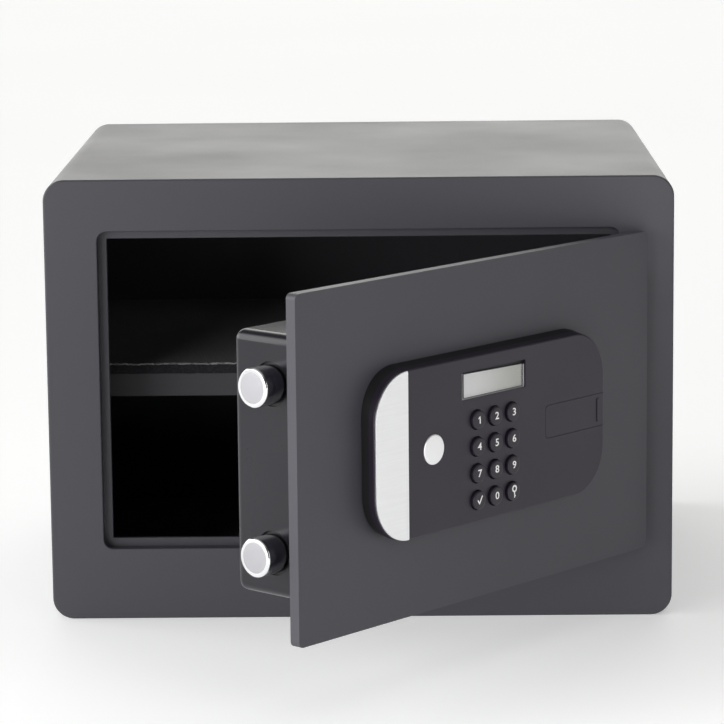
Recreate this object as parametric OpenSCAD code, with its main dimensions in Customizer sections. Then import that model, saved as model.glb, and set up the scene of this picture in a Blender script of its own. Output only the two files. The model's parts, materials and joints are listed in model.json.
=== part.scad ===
// Compact electronic home safe with a motorised boltwork.
// Millimetres. X is the width, Y runs from the front to the back, Z is up.
// The origin is the centre of the footprint, on the floor.
// Every piece is placed from the front face: y = 0 there, and y grows into the safe.
// Door pieces are drawn with the door closed, then turned about the hinge by door_open.

/* [Cabinet] */
// Width of the cabinet
body_w = 350; // [330:1:420]
// Height of the cabinet
body_h = 250; // [240:1:300]
// Depth of the cabinet, from the front face to the back
body_d = 300; // [250:1:400]
// Outer radius of the four long edges
corner_r = 12; // [8:0.5:16]
// Thickness of the folded sheet of top, sides and base
sheet = 3; // [2:0.1:4]
// Thickness of the back plate
back_t = 3; // [2:0.1:5]

/* [Front frame] */
// Thickness of the front frame
front_t = 4; // [3:0.1:5]
// Width of the frame on the left and on the right of the opening
side_border = 29.7; // [28.5:0.1:34]
// Height of the frame above the opening
top_border = 29; // [20:0.1:40]
// Height of the frame below the opening
sill_h = 40.5; // [30:0.1:45]
// Corner radius of the opening
opening_r = 5.5; // [3:0.1:10]
// Depth of the rebate that the closed door sits in
rebate_d = 7; // [6.6:0.1:8]
// Thickness of the rebate wall and of the stop flange
stop_t = 3; // [2:0.1:3.5]
// How far the stop flange shows inside the opening
stop_lip = 4.8; // [3:0.1:6]

/* [Door] */
// Angle at which the door stands open
door_open = 49; // [0:1:95]
// Thickness of the door plate
door_t = 6; // [4:0.1:6.3]
// Gap between the plate and the frame at each side
side_gap = 1.8; // [1.5:0.1:2.5]
// Gap between the plate and the frame at the top and at the bottom
top_gap = 1; // [0.6:0.1:2]
// Corner radius of the plate
door_r = 3; // [1:0.1:5]

/* [Hinge] */
// Distance of the hinge pins from the edge of the opening, sideways
pivot_out = 15.7; // [15:0.1:17]
// Depth of the hinge pins behind the front face
pivot_deep = 13.5; // [13:0.1:15]
// Radius of the hinge pins
pin_r = 2.5; // [2:0.1:3]
// Outer radius of the knuckle on each hinge arm
knuckle_r = 5.5; // [4.5:0.1:6]
// Height of each hinge arm
arm_h = 14; // [10:0.5:20]
// Thickness of the bent part of a hinge arm
arm_t = 5; // [4:0.1:5.5]
// Distance of each arm from the door's upper or lower edge
arm_inset = 20; // [12:0.5:24]
// Thickness of the hinge brackets
bracket_t = 3; // [2:0.1:3.5]

/* [Lock box] */
// Height of the box behind the door plate
box_h = 134.8; // [128:0.1:140]
// How far the box's middle lies below the middle of the door
box_drop = 1.2; // [0:0.1:3]
// Depth of the box behind the door plate
box_d = 45.4; // [42:0.1:46]
// Gap between the box and the clear opening on the bolt side
box_gap = 5.5; // [4:0.1:8]
// Space left beside the box on the hinge side, for the hinge arms
hinge_space = 30.5; // [29:0.1:34]
// Thickness of the box's sheet
box_t = 2; // [1.2:0.1:2.2]
// Radius of the box's edges
box_r = 4; // [3:0.1:6]

/* [Boltwork] */
// Radius of the locking bolts
bolt_r = 10; // [8:0.1:11]
// Depth of the bolts' axes behind the front face
bolt_deep = 24.7; // [24.5:0.1:27]
// Distance of the bolts' axes from the ends of the box, before bolt_drop lowers them
bolt_inset = 24.3; // [23:0.1:26]
// How far the bolts' middle lies below the middle of the box
bolt_drop = 1.2; // [0:0.1:2]
// How far the thrown bolts stand out of the box
bolt_show = 13.9; // [12:0.1:16]
// Stroke of the boltwork
bolt_throw = 12; // [8:0.5:13]
// Module of the rack and of the pinion
gear_m = 1; // [0.9:0.05:1.1]
// Number of teeth on the pinion
pinion_teeth = 12; // [11:1:13]
// Radius of the gear motor
motor_r = 12; // [9:0.1:12.5]
// Length of the gear motor
motor_l = 42; // [30:0.5:46]

/* [Keypad] */
// Width of the keypad housing
pad_w = 188; // [184:1:200]
// Height of the keypad housing
pad_h = 88; // [86:1:100]
// Corner radius of the keypad housing
pad_r = 25; // [18:0.5:32]
// Thickness of the whole keypad housing
pad_t = 10; // [9.5:0.1:12]
// Depth of the housing's front cap
cap_d = 4; // [3.6:0.1:4.5]
// Wall of the housing
pad_wall = 2; // [1.6:0.1:2.2]
// How far the back half of the housing stands above its front cap
base_rise = 2.1; // [0:0.1:3]
// Radius of a key
key_r = 5; // [4.6:0.1:5.6]
// Distance between neighbouring keys
key_pitch = 14.2; // [13.8:0.1:14.8]
// How far a key stands out of the housing
key_up = 2; // [1.2:0.1:2.4]
// Travel of a key
key_travel = 1; // [0.4:0.1:1.2]
// Width of the display window
lcd_w = 52; // [44:0.5:60]
// Height of the display window
lcd_h = 13.6; // [11:0.1:15]
// Thickness of the brushed end plate
trim_t = 0.8; // [0.4:0.1:1.5]
// Width of the brushed end plate
trim_w = 25.2; // [20:0.1:32]
// Radius of the blank disc beside the keys
disc_r = 7.9; // [6:0.1:10]
// Length of the cover over the override lock
cover_w = 50.7; // [46:0.1:56]
// Height of the cover over the override lock
cover_h = 18; // [17:0.1:22]
// Radius of the override lock
lock_r = 7; // [6:0.1:7.5]

/* [Batteries] */
// Radius of a battery cell
cell_r = 7.1; // [6.8:0.1:7.2]
// Length of a battery cell
cell_l = 50.5; // [49:0.1:51]

/* [Shelf and linings] */
// Height of the shelf's upper surface
shelf_z = 134.4; // [110:0.1:160]
// Distance of the shelf's front edge behind the front face
shelf_front = 60; // [58:0.5:90]
// Height of the shelf's front lip
lip_h = 17.5; // [12:0.1:22]
// Thickness of the shelf's sheet
shelf_t = 1.5; // [1:0.1:2]
// Thickness of the felt on the floor and on the shelf
felt_t = 2; // [1.5:0.1:4]

/* [Anchors] */
// Radius of the anchor holes
anchor_r = 6; // [4:0.1:8]
// Distance between the two anchor holes in the base and in the back
anchor_pitch = 200; // [150:1:240]
// Height of the anchor holes in the back plate
anchor_z = 190; // [165:1:200]

/* [Fits] */
// Radial clearance of pins, shafts and bolts in their bores
running = 0.05; // [0.02:0.01:0.1]
// Clearance between pieces that slide or drop in
loose = 0.2; // [0.1:0.05:0.3]

/* [Hidden] */
$fn = 64;
// A cut runs past the faces that it opens by this much
past = 1;

open_x = body_w / 2 - side_border;
open_top = body_h - top_border;
clear_x = open_x - stop_lip;
inner_x = body_w / 2 - sheet;
stop_back = rebate_d + stop_t;

hinge_x = open_x + pivot_out;
hinge_y = pivot_deep;
door_x = open_x - side_gap;
door_z0 = sill_h + top_gap;
door_z1 = open_top - top_gap;
door_mid = (door_z0 + door_z1) / 2;

// The hinge edge of the plate is hollowed to this radius, so that it turns past the frame
relief_clear = 0.5;
relief_r = norm([hinge_x - open_x + relief_clear, hinge_y]);
// The opening's round corners reach further in, level with the ends of the plate
corner_x = open_x - opening_r + sqrt(pow(opening_r, 2) - pow(opening_r - top_gap, 2));
corner_relief_r = norm([hinge_x - corner_x + relief_clear, hinge_y]);
corner_relief_h = opening_r - top_gap;

// The bend of a hinge arm passes round the stop flange at this distance from the pin
arm_clear = 1;
bend_r = norm([hinge_x - clear_x, hinge_y - rebate_d]) + arm_clear;
arm_z = [door_z0 + arm_inset, door_z1 - arm_inset - arm_h];
stem_out = 0.5;
foot_l = 15;
foot_t = 3.5;
lug_gap = 0.4;
lug_extra = 0.5;
lug_r = knuckle_r + lug_extra;
pin_head = 1.5;
// The brackets start behind the front frame and end behind the pins
bracket_gap = 1;
bracket_rear = 9;
bracket_front = front_t + bracket_gap;
bracket_back = hinge_y + bracket_rear;

strike_w = 12.8;
strike_set = 1;
strike_end = 6;
strike_gap = 0.3;

box_x0 = -clear_x + box_gap;
box_x1 = clear_x - hinge_space;
box_mid = door_mid - box_drop;
box_z0 = box_mid - box_h / 2;
box_z1 = box_mid + box_h / 2;
box_back = door_t + box_d;
box_in = box_back - box_t;
inner_round = 0.5;
box_in_r = box_r - box_t + inner_round;

bolt_mid = box_mid - bolt_drop;
bolt_pitch = box_h - 2 * bolt_inset;
bolt_z = [bolt_mid - bolt_pitch / 2, bolt_mid + bolt_pitch / 2];
bolt_tip = box_x0 - bolt_show;
bolt_chamfer = 1.2;
hole_gap = 1.5;
guide_wall = 4;
guide_l = 16;
guide_set = 0.3;
guide_x = box_x0 + box_t + guide_set;
bar_set = 2.5;
bar_x = guide_x + guide_l + bar_set;
bar_t = 4;
bar_end = 2;
stud_r = 4;
stud_end = 1;
nut_r = 7.5;
nut_h = 6;

pitch_r = gear_m * pinion_teeth / 2;
rack_h = 7;
rack_depth = 4.5;
rack_ahead = 2;
rack_past = 0.5;
tooth_root = 0.1;
gear_play = 0.3;
gear_add = 0.85 * gear_m;
gear_ded = 1.25 * gear_m;
pressure = 20;
shaft_r = 1.5;
shaft_in = 8;
motor_set = 26;
motor_lift = 4;
mount_gap = 1.2;
motor_x = bar_x + bar_t + bolt_throw + motor_r + motor_set;
shaft_y = door_t + motor_r + motor_lift;
mount_z = bolt_mid + rack_h / 2 + mount_gap;
mount_t = 2;
mount_foot = 24;
motor_z = mount_z + mount_t;
gearbox_l = 17;
motor_step = 1;
mount_side = 2;
mount_hole = 2;
motor_cap_r = 3;
motor_cap_h = 2;
motor_screw_r = 1.3;
motor_screw_in = 3.5;
motor_screw_x = motor_r - motor_screw_in;
motor_screw_l = 5;
motor_head_r = 2.4;
motor_head_h = 0.8;

// Middle of the keypad housing: left of the door's middle, and below it
pad_left = 2.9;
pad_low = 1.25;
pad_x = -pad_left;
pad_z = door_mid - pad_low;
pad_x0 = pad_x - pad_w / 2;
pad_x1 = pad_x + pad_w / 2;
cap_back = cap_d - pad_t;
wall_back = pad_wall - pad_t;
base_inset = 1.2;
trim_inset = 0.3;
floor_t = 1.5;
boss_r = 2.5;
boss_wall = 3;
keys_right = 0.4;
keys_low = 11.05;
keys_x = pad_x + keys_right;
grid_z = pad_z - keys_low;
keys_z = grid_z + 1.5 * key_pitch;
key_rim = 0.5;
key_flange = 0.8;
key_back = wall_back + loose / 4;
grid_edge = 1.5;
keys_w = 2 * (key_pitch + key_r + grid_edge);
keys_h = 3 * key_pitch + 2 * (key_r + grid_edge);
mat_front = key_back + key_flange + key_travel + loose / 4;
mat_t = 1;
board_t = 1.6;
board_back = mat_front + mat_t + board_t;
lcd_right = 0.4;
lcd_up = 28.5;
lcd_x = pad_x + lcd_right;
lcd_z = pad_z + lcd_up;
lcd_sink = 1;
lcd_edge = 2;
lcd_t = 3;
disc_left = 48.6;
disc_x = pad_x - disc_left;
cover_x = pad_x1 - cover_w;
cover_t = pad_wall - loose;
cover_r = 2.5;
cover_bed = 2;
grip_in = 4.5;
grip_x = pad_x1 - grip_in;
grip_w = 1.4;
grip_h = 12;

lock_in = 20;
lock_l = 18;
lock_nut_wall = 4;
lock_x = cover_x + lock_in;
lock_back = door_t + lock_l;
lock_nut_r = lock_r + lock_nut_wall;
lock_nut_h = 4;
plug_r = 4.5;
keyhole_w = 1.2;
keyhole_h = 6.8;
keyhole_back = 2;
cam_r = 17;
cam_w = 10;
cam_hub_r = 7;
cam_t = 2;
cam_gap = 0.5;

pad_screw_left = 75;
pad_screw_right = 17;
pad_screw_low = 15;
pad_screw_x = [pad_x - pad_screw_left, lock_x + pad_screw_right];
pad_screw_z = pad_z - pad_screw_low;
pad_screw_r = 2.5;
pad_head_r = 4.5;
pad_head_h = 3;
pad_screw_set = 1.5;
pad_screw_room = 0.5;
cable_x = 5;
cable_up = 20;
cable_z = door_mid + cable_up;
cable_w = 10;
cable_t = 0.8;
cable_hole = 8;
cable_end = 4;

panel_w = 60;
panel_gap = 5;
panel_x1 = lock_x - cam_r - panel_gap;
panel_x0 = panel_x1 - panel_w;
panel_low = 6;
panel_deep = 30;
panel_z0 = door_mid - panel_low;
panel_y = door_t + panel_deep;
panel_in = 5;
post_r = 3;
// Chips on the control board: left, bottom, width, height and thickness
chips = [[12, 12, 18, 14, 3.4], [36, 34, 12, 12, 2.4]];
buzzer_x = 18;
buzzer_z = 42;
buzzer_r = 5;
buzzer_h = 5.4;

tray_wall = 1.5;
tray_lip = 3;
tray_lip_end = 1;
tray_lip_low = 1.5;
contact_l = 3.5;
contact_t = 0.5;
contact_w = 10;
spring_r = 3;
cell_gap = 1;
nub_r = 2.7;
nub_h = 1.5;
rail_w = 2;
tray_l = 2 * (cell_l + contact_l + tray_wall) + cell_gap;
tray_h = 4 * cell_r + 3 * tray_wall + 2 * loose;
tray_in = 2;
tray_x1 = box_x1 - box_r - tray_in;
tray_x0 = tray_x1 - tray_l;
tray_z0 = box_z0 + box_r + rail_w + loose + tray_lip;
tray_z1 = tray_z0 + tray_h;
tray_y = box_in - 2 * cell_r - tray_wall - loose;
row_step = 2 * cell_r + loose + tray_wall;
cell_y = box_in - cell_r;
cell_z = tray_z0 + tray_wall + cell_r + loose / 2;

lid_t = 1.6;
lid_x0 = tray_x0 - tray_lip;
lid_x1 = box_x1 - box_r;
lid_z0 = tray_z0 - tray_lip;
lid_z1 = tray_z1 + tray_lip;
lid_ribs = 5;
rib_in = 8;
rib_w = 1.5;
rib_deep = 0.5;
rail_t = 1;
rail_hook = 1.5;

button_r = 4;
button_in = 22;
button_x = box_x1 - button_in;
button_z = box_z1 - button_in;
button_up = 2;
button_flange = 1.5;
button_flange_t = 1.2;

// Posts between the plate and the box's back: left ones clear of the drawn bolts
box_post_r = 4;
box_post_in = 9;
box_post_clear = 3;
box_post_out = 14;
box_post_left = bar_x + bar_t + bolt_throw + nut_h + box_post_r + box_post_clear;
box_post_mid = tray_x0 - box_post_out;
screw_r = 1.5;
screw_l = 9;
head_under = 0.5;
head_h = box_t - head_under;

shelf_side = 1;
felt_side = 1;
felt_fold = 4;
felt_set = 8;
felt_clear = 2;
felt_front = front_t + felt_set;
felt_hole = anchor_r + felt_clear;
rest_leg = 14;
rest_end = 9;

// Moves a piece from the front face's frame to the cabinet's frame
module at_front() translate([0, -body_d / 2, 0]) children();

// Turns a closed door piece about the hinge
module on_door() {
    at_front()
    translate([hinge_x, hinge_y, 0])
    rotate([0, 0, door_open])
    translate([-hinge_x, -hinge_y, 0])
    children();
}

// Flat outline with round corners, between two corners
module rounded(x0, x1, z0, z1, r) {
    translate([x0 + r, z0]) square([x1 - x0 - 2 * r, z1 - z0]);
    translate([x0, z0 + r]) square([x1 - x0, z1 - z0 - 2 * r]);
    for (x = [x0 + r, x1 - r], z = [z0 + r, z1 - r]) translate([x, z]) circle(r);
}

// Upright slab: a flat X-Z outline, from depth y, t thick
module upright(y, t) translate([0, y + t, 0]) rotate([90, 0, 0]) linear_extrude(t) children();

// Block between two corners
module block(x0, x1, y0, y1, z0, z1) {
    translate([x0, y0, z0]) cube([x1 - x0, y1 - y0, z1 - z0]);
}

// Rod along X, along Y and along Z
module rod_x(x0, x1, y, z, r) translate([x0, y, z]) rotate([0, 90, 0]) cylinder(h = x1 - x0, r = r);
module rod_y(y0, y1, x, z, r) translate([x, y0, z]) rotate([-90, 0, 0]) cylinder(h = y1 - y0, r = r);
module rod_z(z0, z1, x, y, r) translate([x, y, z0]) cylinder(h = z1 - z0, r = r);

// Countersunk head in the box's back, grown all round for its seat
module screw_head(grow) translate([0, box_back - head_h, 0]) rotate([-90, 0, 0])
    cylinder(h = head_h + grow, r1 = screw_r + grow, r2 = screw_r + head_h + 2 * grow);

module body_outline(inset) {
    rounded(-body_w / 2 + inset, body_w / 2 - inset, inset, body_h - inset, corner_r - inset);
}

module opening(grow) {
    rounded(-open_x - grow, open_x + grow, sill_h - grow, open_top + grow, opening_r + grow);
}

module cabinet_wrap() color("dimgray") at_front() difference() {
    upright(front_t, body_d - front_t) difference() {
        body_outline(0);
        body_outline(sheet);
    }
    for (side = [-1, 1])
        rod_z(-past, sheet + past, side * anchor_pitch / 2, body_d / 2, anchor_r);
}

module front_frame() color("dimgray") at_front() upright(0, front_t) difference() {
    body_outline(0);
    opening(0);
}

// Rebate wall and stop flange, welded behind the front frame
module door_stop() color("slategray") at_front() {
    upright(front_t, stop_back - front_t) difference() {
        opening(stop_t);
        opening(0);
    }
    upright(rebate_d, stop_t) difference() {
        opening(stop_t / 2);
        translate([-clear_x, sill_h + stop_lip])
            square([2 * clear_x, open_top - sill_h - 2 * stop_lip]);
    }
}

module back_plate() color("dimgray") at_front() upright(body_d - back_t, back_t) difference() {
    body_outline(sheet);
    for (side = [-1, 1]) translate([side * anchor_pitch / 2, anchor_z]) circle(anchor_r);
}

// Bar behind the stop flange that the thrown bolts bear on
module bolt_strike() color("gray") at_front() {
    block(-open_x - strike_w, -clear_x - strike_set, stop_back, bolt_deep - bolt_r - strike_gap,
        door_z0 + strike_end, door_z1 - strike_end);
}

// Two lugs on a plate that is welded to the side wall, for one hinge arm
module hinge_bracket(z) {
    z0 = z - lug_gap - bracket_t;
    z1 = z + arm_h + lug_gap;
    block(inner_x - bracket_t, inner_x, bracket_front, bracket_back, z0, z1 + bracket_t);
    for (lug = [z0, z1]) difference() {
        union() {
            rod_z(lug, lug + bracket_t, hinge_x, hinge_y, lug_r);
            block(hinge_x, inner_x - bracket_t, hinge_y - lug_r, hinge_y + lug_r, lug, lug + bracket_t);
        }
        rod_z(lug - past, lug + bracket_t + past, hinge_x, hinge_y, pin_r + running);
    }
}

module hinge_brackets() color("gray") at_front() for (z = arm_z) hinge_bracket(z);

module hinge_pins() color("silver") at_front() for (z = arm_z) {
    z0 = z - lug_gap - bracket_t;
    z1 = z + arm_h + lug_gap + bracket_t;
    rod_z(z0 - pin_head, z1, hinge_x, hinge_y, pin_r);
    rod_z(z1, z1 + pin_head, hinge_x, hinge_y, pin_r + pin_head);
}

// Sheet with a lip folded down at the front and at the back
module shelf() color("gray") at_front() {
    half = inner_x - shelf_side;
    back = body_d - back_t - shelf_side;
    block(-half, half, shelf_front, back, shelf_z - shelf_t, shelf_z);
    block(-half, half, shelf_front, shelf_front + shelf_t, shelf_z - lip_h, shelf_z);
    block(-half, half, back - shelf_t, back, shelf_z - lip_h / 2, shelf_z);
}

// Felt on the shelf, wrapped a little over its front edge
module shelf_felt() color("black") at_front() {
    half = inner_x - shelf_side - felt_side;
    back = body_d - back_t - shelf_side - felt_side;
    block(-half, half, shelf_front - felt_t, back, shelf_z, shelf_z + felt_t);
    block(-half, half, shelf_front - felt_t, shelf_front, shelf_z - felt_fold, shelf_z + felt_t);
}

// Angles on the side walls that carry the shelf
module shelf_brackets() color("gray") at_front() for (side = [0, 1]) mirror([side, 0, 0]) {
    y0 = shelf_front + shelf_t + rest_end;
    y1 = body_d - back_t - shelf_side - shelf_t - rest_end;
    under = shelf_z - shelf_t;
    block(inner_x - rest_leg, inner_x, y0, y1, under - shelf_t, under);
    block(inner_x - shelf_t, inner_x, y0, y1, under - rest_leg, under);
}

module floor_felt() color("black") at_front() difference() {
    half = inner_x - corner_r;
    block(-half, half, felt_front, body_d - back_t - felt_side, sheet, sheet + felt_t);
    for (side = [-1, 1])
        rod_z(sheet - past, sheet + felt_t + past, side * anchor_pitch / 2, body_d / 2, felt_hole);
}

module door_plate() color("dimgray") on_door() difference() {
    upright(0, door_t) rounded(-door_x, door_x, door_z0, door_z1, door_r);
    rod_z(door_z0 - past, door_z1 + past, hinge_x, hinge_y, relief_r);
    for (z = [door_z0 - past, door_z1 - corner_relief_h])
        rod_z(z, z + corner_relief_h + past, hinge_x, hinge_y, corner_relief_r);
    rod_y(-past, door_t + past, lock_x, pad_z, lock_r + loose);
    rod_y(-past, door_t + past, cable_x, cable_z, cable_hole);
    for (x = pad_screw_x) rod_y(-past, door_t + past, x, pad_screw_z, pad_screw_r + loose);
}

// Gooseneck that reaches from the pin round the stop flange to the back of the plate
module hinge_arm(z) translate([0, 0, z]) linear_extrude(arm_h) {
    stem_x = hinge_x + stem_out;
    leg_x = hinge_x - bend_r;
    bend_y = hinge_y + bend_r;
    difference() {
        union() {
            translate([hinge_x, hinge_y]) circle(knuckle_r);
            translate([stem_x, hinge_y]) square([arm_t, bend_r + arm_t]);
            translate([leg_x - arm_t, bend_y]) square([stem_x - leg_x + 2 * arm_t, arm_t]);
            translate([leg_x - arm_t, door_t]) square([arm_t, bend_y + arm_t - door_t]);
            translate([leg_x - arm_t - foot_l, door_t]) square([foot_l + arm_t, foot_t]);
        }
        translate([hinge_x, hinge_y]) circle(pin_r + running);
    }
}

module hinge_arms() color("gray") on_door() for (z = arm_z) hinge_arm(z);

// Solid box with round edges, flat towards the plate
module soft_box(x0, x1, y0, y1, z0, z1, r) {
    upright(y0, y1 - r - y0) rounded(x0, x1, z0, z1, r);
    block(x0 + r, x1 - r, y1 - r, y1, z0 + r, z1 - r);
    for (z = [z0 + r, z1 - r]) rod_x(x0 + r, x1 - r, y1 - r, z, r);
    for (x = [x0 + r, x1 - r]) {
        rod_z(z0 + r, z1 - r, x, y1 - r, r);
        for (z = [z0 + r, z1 - r]) translate([x, y1 - r, z]) sphere(r);
    }
}

module box_screw_places() {
    for (x = [box_post_left, box_x1 - box_post_in])
        translate([x, 0, box_z1 - box_post_in]) children();
    for (x = [box_post_left, box_post_mid])
        translate([x, 0, box_z0 + box_post_in]) children();
}

module lock_box() color("#26272a") on_door() difference() {
    soft_box(box_x0, box_x1, door_t, box_back, box_z0, box_z1, box_r);
    soft_box(box_x0 + box_t, box_x1 - box_t, door_t - past, box_in, box_z0 + box_t, box_z1 - box_t, box_in_r);
    for (z = bolt_z) rod_x(box_x0 - past, box_x0 + box_r + past, bolt_deep, z, bolt_r + hole_gap);
    block(tray_x0 + tray_wall, tray_x1 - tray_wall, box_in - past, box_back + past,
        tray_z0 + tray_wall, tray_z1 - tray_wall);
    rod_y(box_in - past, box_back + past, button_x, button_z, button_r + loose);
    box_screw_places() {
        rod_y(box_in - past, box_back, 0, 0, screw_r + loose);
        screw_head(loose);
    }
}

module box_posts() color("silver") on_door() box_screw_places() difference() {
    rod_y(door_t, box_in, 0, 0, box_post_r);
    rod_y(box_in - screw_l - past, box_in + past, 0, 0, screw_r + loose);
}

module box_screws() color("silver") on_door() box_screw_places() {
    rod_y(box_in - screw_l, box_back - head_h, 0, 0, screw_r);
    screw_head(0);
}

module guide_bushes() color("#1b1c1e") on_door() for (z = bolt_z) difference() {
    block(guide_x, guide_x + guide_l, door_t, bolt_deep + bolt_r + guide_wall,
        z - bolt_r - guide_wall, z + bolt_r + guide_wall);
    rod_x(guide_x - past, guide_x + guide_l + past, bolt_deep, z, bolt_r + running);
}

module lock_bolts() color("silver") on_door() for (z = bolt_z) {
    rod_x(bolt_tip + bolt_chamfer, bar_x, bolt_deep, z, bolt_r);
    translate([bolt_tip, bolt_deep, z]) rotate([0, 90, 0])
        cylinder(h = bolt_chamfer, r1 = bolt_r - bolt_chamfer, r2 = bolt_r);
    rod_x(bar_x, bar_x + bar_t + nut_h + stud_end, bolt_deep, z, stud_r);
}

module bolt_nuts() color("silver") on_door() for (z = bolt_z) difference() {
    translate([bar_x + bar_t, bolt_deep, z]) rotate([0, 90, 0]) cylinder(h = nut_h, r = nut_r, $fn = 6);
    rod_x(bar_x, bar_x + bar_t + nut_h + past, bolt_deep, z, stud_r + running);
}

// Rack tooth, pointing towards the pinion
module rack_tooth(x) {
    half = (PI * gear_m / 2 - gear_play) / 2;
    tip = half - gear_add * tan(pressure);
    root = half + gear_ded * tan(pressure);
    foot = gear_ded + tooth_root;
    translate([x, shaft_y + pitch_r])
        polygon([[-root, foot], [-tip, -gear_add], [tip, -gear_add], [root, foot]]);
}

// Upright bar that joins the bolts, with the rack that the motor drives
module bolt_bar() color("silver") on_door() {
    tooth_step = PI * gear_m;
    rack_y = shaft_y + pitch_r + gear_ded;
    rack_x1 = motor_x + (rack_ahead + rack_past) * tooth_step;
    behind = floor((bolt_throw + pitch_r) / tooth_step) + 1;
    difference() {
        block(bar_x, bar_x + bar_t, bolt_deep - bolt_r, max(bolt_deep + bolt_r, rack_y + rack_depth),
            bolt_z[0] - bolt_r - bar_end, bolt_z[1] + bolt_r + bar_end);
        for (z = bolt_z) rod_x(bar_x - past, bar_x + bar_t + past, bolt_deep, z, stud_r + running);
    }
    block(bar_x + bar_t, rack_x1, rack_y, rack_y + rack_depth, bolt_mid - rack_h / 2, bolt_mid + rack_h / 2);
    translate([0, 0, bolt_mid - rack_h / 2]) linear_extrude(rack_h)
        for (i = [-behind:rack_ahead]) rack_tooth(motor_x + i * tooth_step);
}

// Angle in degrees that an involute has unwound at radius r from base radius b
function unwound(r, b) = r <= b ? 0 : let (a = acos(b / r)) tan(a) * 180 / PI - a;

// Angle from the middle of a tooth to its flank, at radius r
function flank(r) = let (b = pitch_r * cos(pressure), play = gear_play / 2 / pitch_r * 180 / PI)
    90 / pinion_teeth - play / 2 + unwound(pitch_r, b) - unwound(r, b);

module drive_pinion() color("goldenrod") on_door() translate([motor_x, shaft_y, 0]) {
    r0 = pitch_r - gear_ded;
    r1 = pitch_r + gear_add;
    radii = [for (i = [0:5]) r0 + (r1 - r0) * i / 5];
    step = 360 / pinion_teeth;
    points = [for (t = [0:pinion_teeth - 1]) let (mid = 90 + step / 2 + t * step) each concat(
        [for (r = radii) [r * cos(mid - flank(r)), r * sin(mid - flank(r))]],
        [for (i = [5:-1:0]) let (r = radii[i]) [r * cos(mid + flank(r)), r * sin(mid + flank(r))]])];
    translate([0, 0, bolt_mid - rack_h / 2]) linear_extrude(rack_h) polygon(points);
    rod_z(bolt_mid + rack_h / 2, motor_z + shaft_in, 0, 0, shaft_r);
}

module gear_motor() color("silver") on_door() translate([motor_x, shaft_y, 0]) difference() {
    union() {
        rod_z(motor_z, motor_z + gearbox_l, 0, 0, motor_r);
        rod_z(motor_z + gearbox_l, motor_z + motor_l, 0, 0, motor_r - motor_step);
        rod_z(motor_z + motor_l, motor_z + motor_l + motor_cap_h, 0, 0, motor_cap_r);
    }
    rod_z(motor_z - past, motor_z + shaft_in + past, 0, 0, shaft_r + running);
    for (side = [-1, 1])
        rod_z(motor_z - past, motor_z + motor_screw_l + past, side * motor_screw_x, 0, motor_screw_r + loose);
}

// Angle bracket that carries the motor on the back of the plate
module motor_bracket() color("gray") on_door() translate([motor_x, 0, 0]) difference() {
    half = motor_r + mount_side;
    union() {
        block(-half, half, door_t, shaft_y + motor_r, mount_z, motor_z);
        block(-half, half, door_t, door_t + mount_t, mount_z, motor_z + mount_foot);
    }
    rod_z(mount_z - past, motor_z + past, 0, shaft_y, shaft_r + mount_hole);
    for (side = [-1, 1])
        rod_z(mount_z - past, motor_z + past, side * motor_screw_x, shaft_y, motor_screw_r + loose);
}

module motor_screws() color("silver") on_door() translate([motor_x, shaft_y, 0]) {
    for (side = [-1, 1]) {
        rod_z(mount_z - motor_head_h, mount_z, side * motor_screw_x, 0, motor_head_r);
        rod_z(mount_z, motor_z + motor_screw_l, side * motor_screw_x, 0, motor_screw_r);
    }
}

module pad_outline(inset) {
    rounded(pad_x0 + inset, pad_x1 - inset, pad_z - pad_h / 2 + inset, pad_z + pad_h / 2 - inset,
        pad_r - inset);
}

// Outline of the housing's back half
module base_outline() {
    rounded(pad_x0 + base_inset, pad_x1 - base_inset, pad_z - pad_h / 2 + base_inset,
        pad_z + pad_h / 2 + base_rise, pad_r - base_inset);
}

module key_grid() translate([keys_x - keys_w / 2, grid_z - keys_h / 2]) square([keys_w, keys_h]);

// Back half of the housing, with the bosses that the key board stands on
module keypad_base() color("#1b1c1e") on_door() difference() {
    union() {
        upright(-floor_t, floor_t) base_outline();
        upright(cap_back, -cap_back) difference() {
            base_outline();
            pad_outline(base_inset + pad_wall);
        }
        for (dx = [-1, 1], dz = [-1, 1])
            rod_y(board_back, 0, keys_x + dx * (keys_w / 2 - boss_r),
                grid_z + dz * (keys_h / 2 - boss_r), boss_r);
        rod_y(cap_back, 0, lock_x, pad_z, lock_r + boss_wall);
        for (x = pad_screw_x) rod_y(cap_back, 0, x, pad_screw_z, pad_screw_r + boss_wall);
    }
    rod_y(cap_back - past, past, lock_x, pad_z, lock_r + loose);
    rod_y(-floor_t - past, past, cable_x, cable_z, cable_hole);
    for (x = pad_screw_x)
        rod_y(cap_back + pad_screw_set - pad_screw_room, past, x, pad_screw_z, pad_screw_r + running);
}

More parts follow.
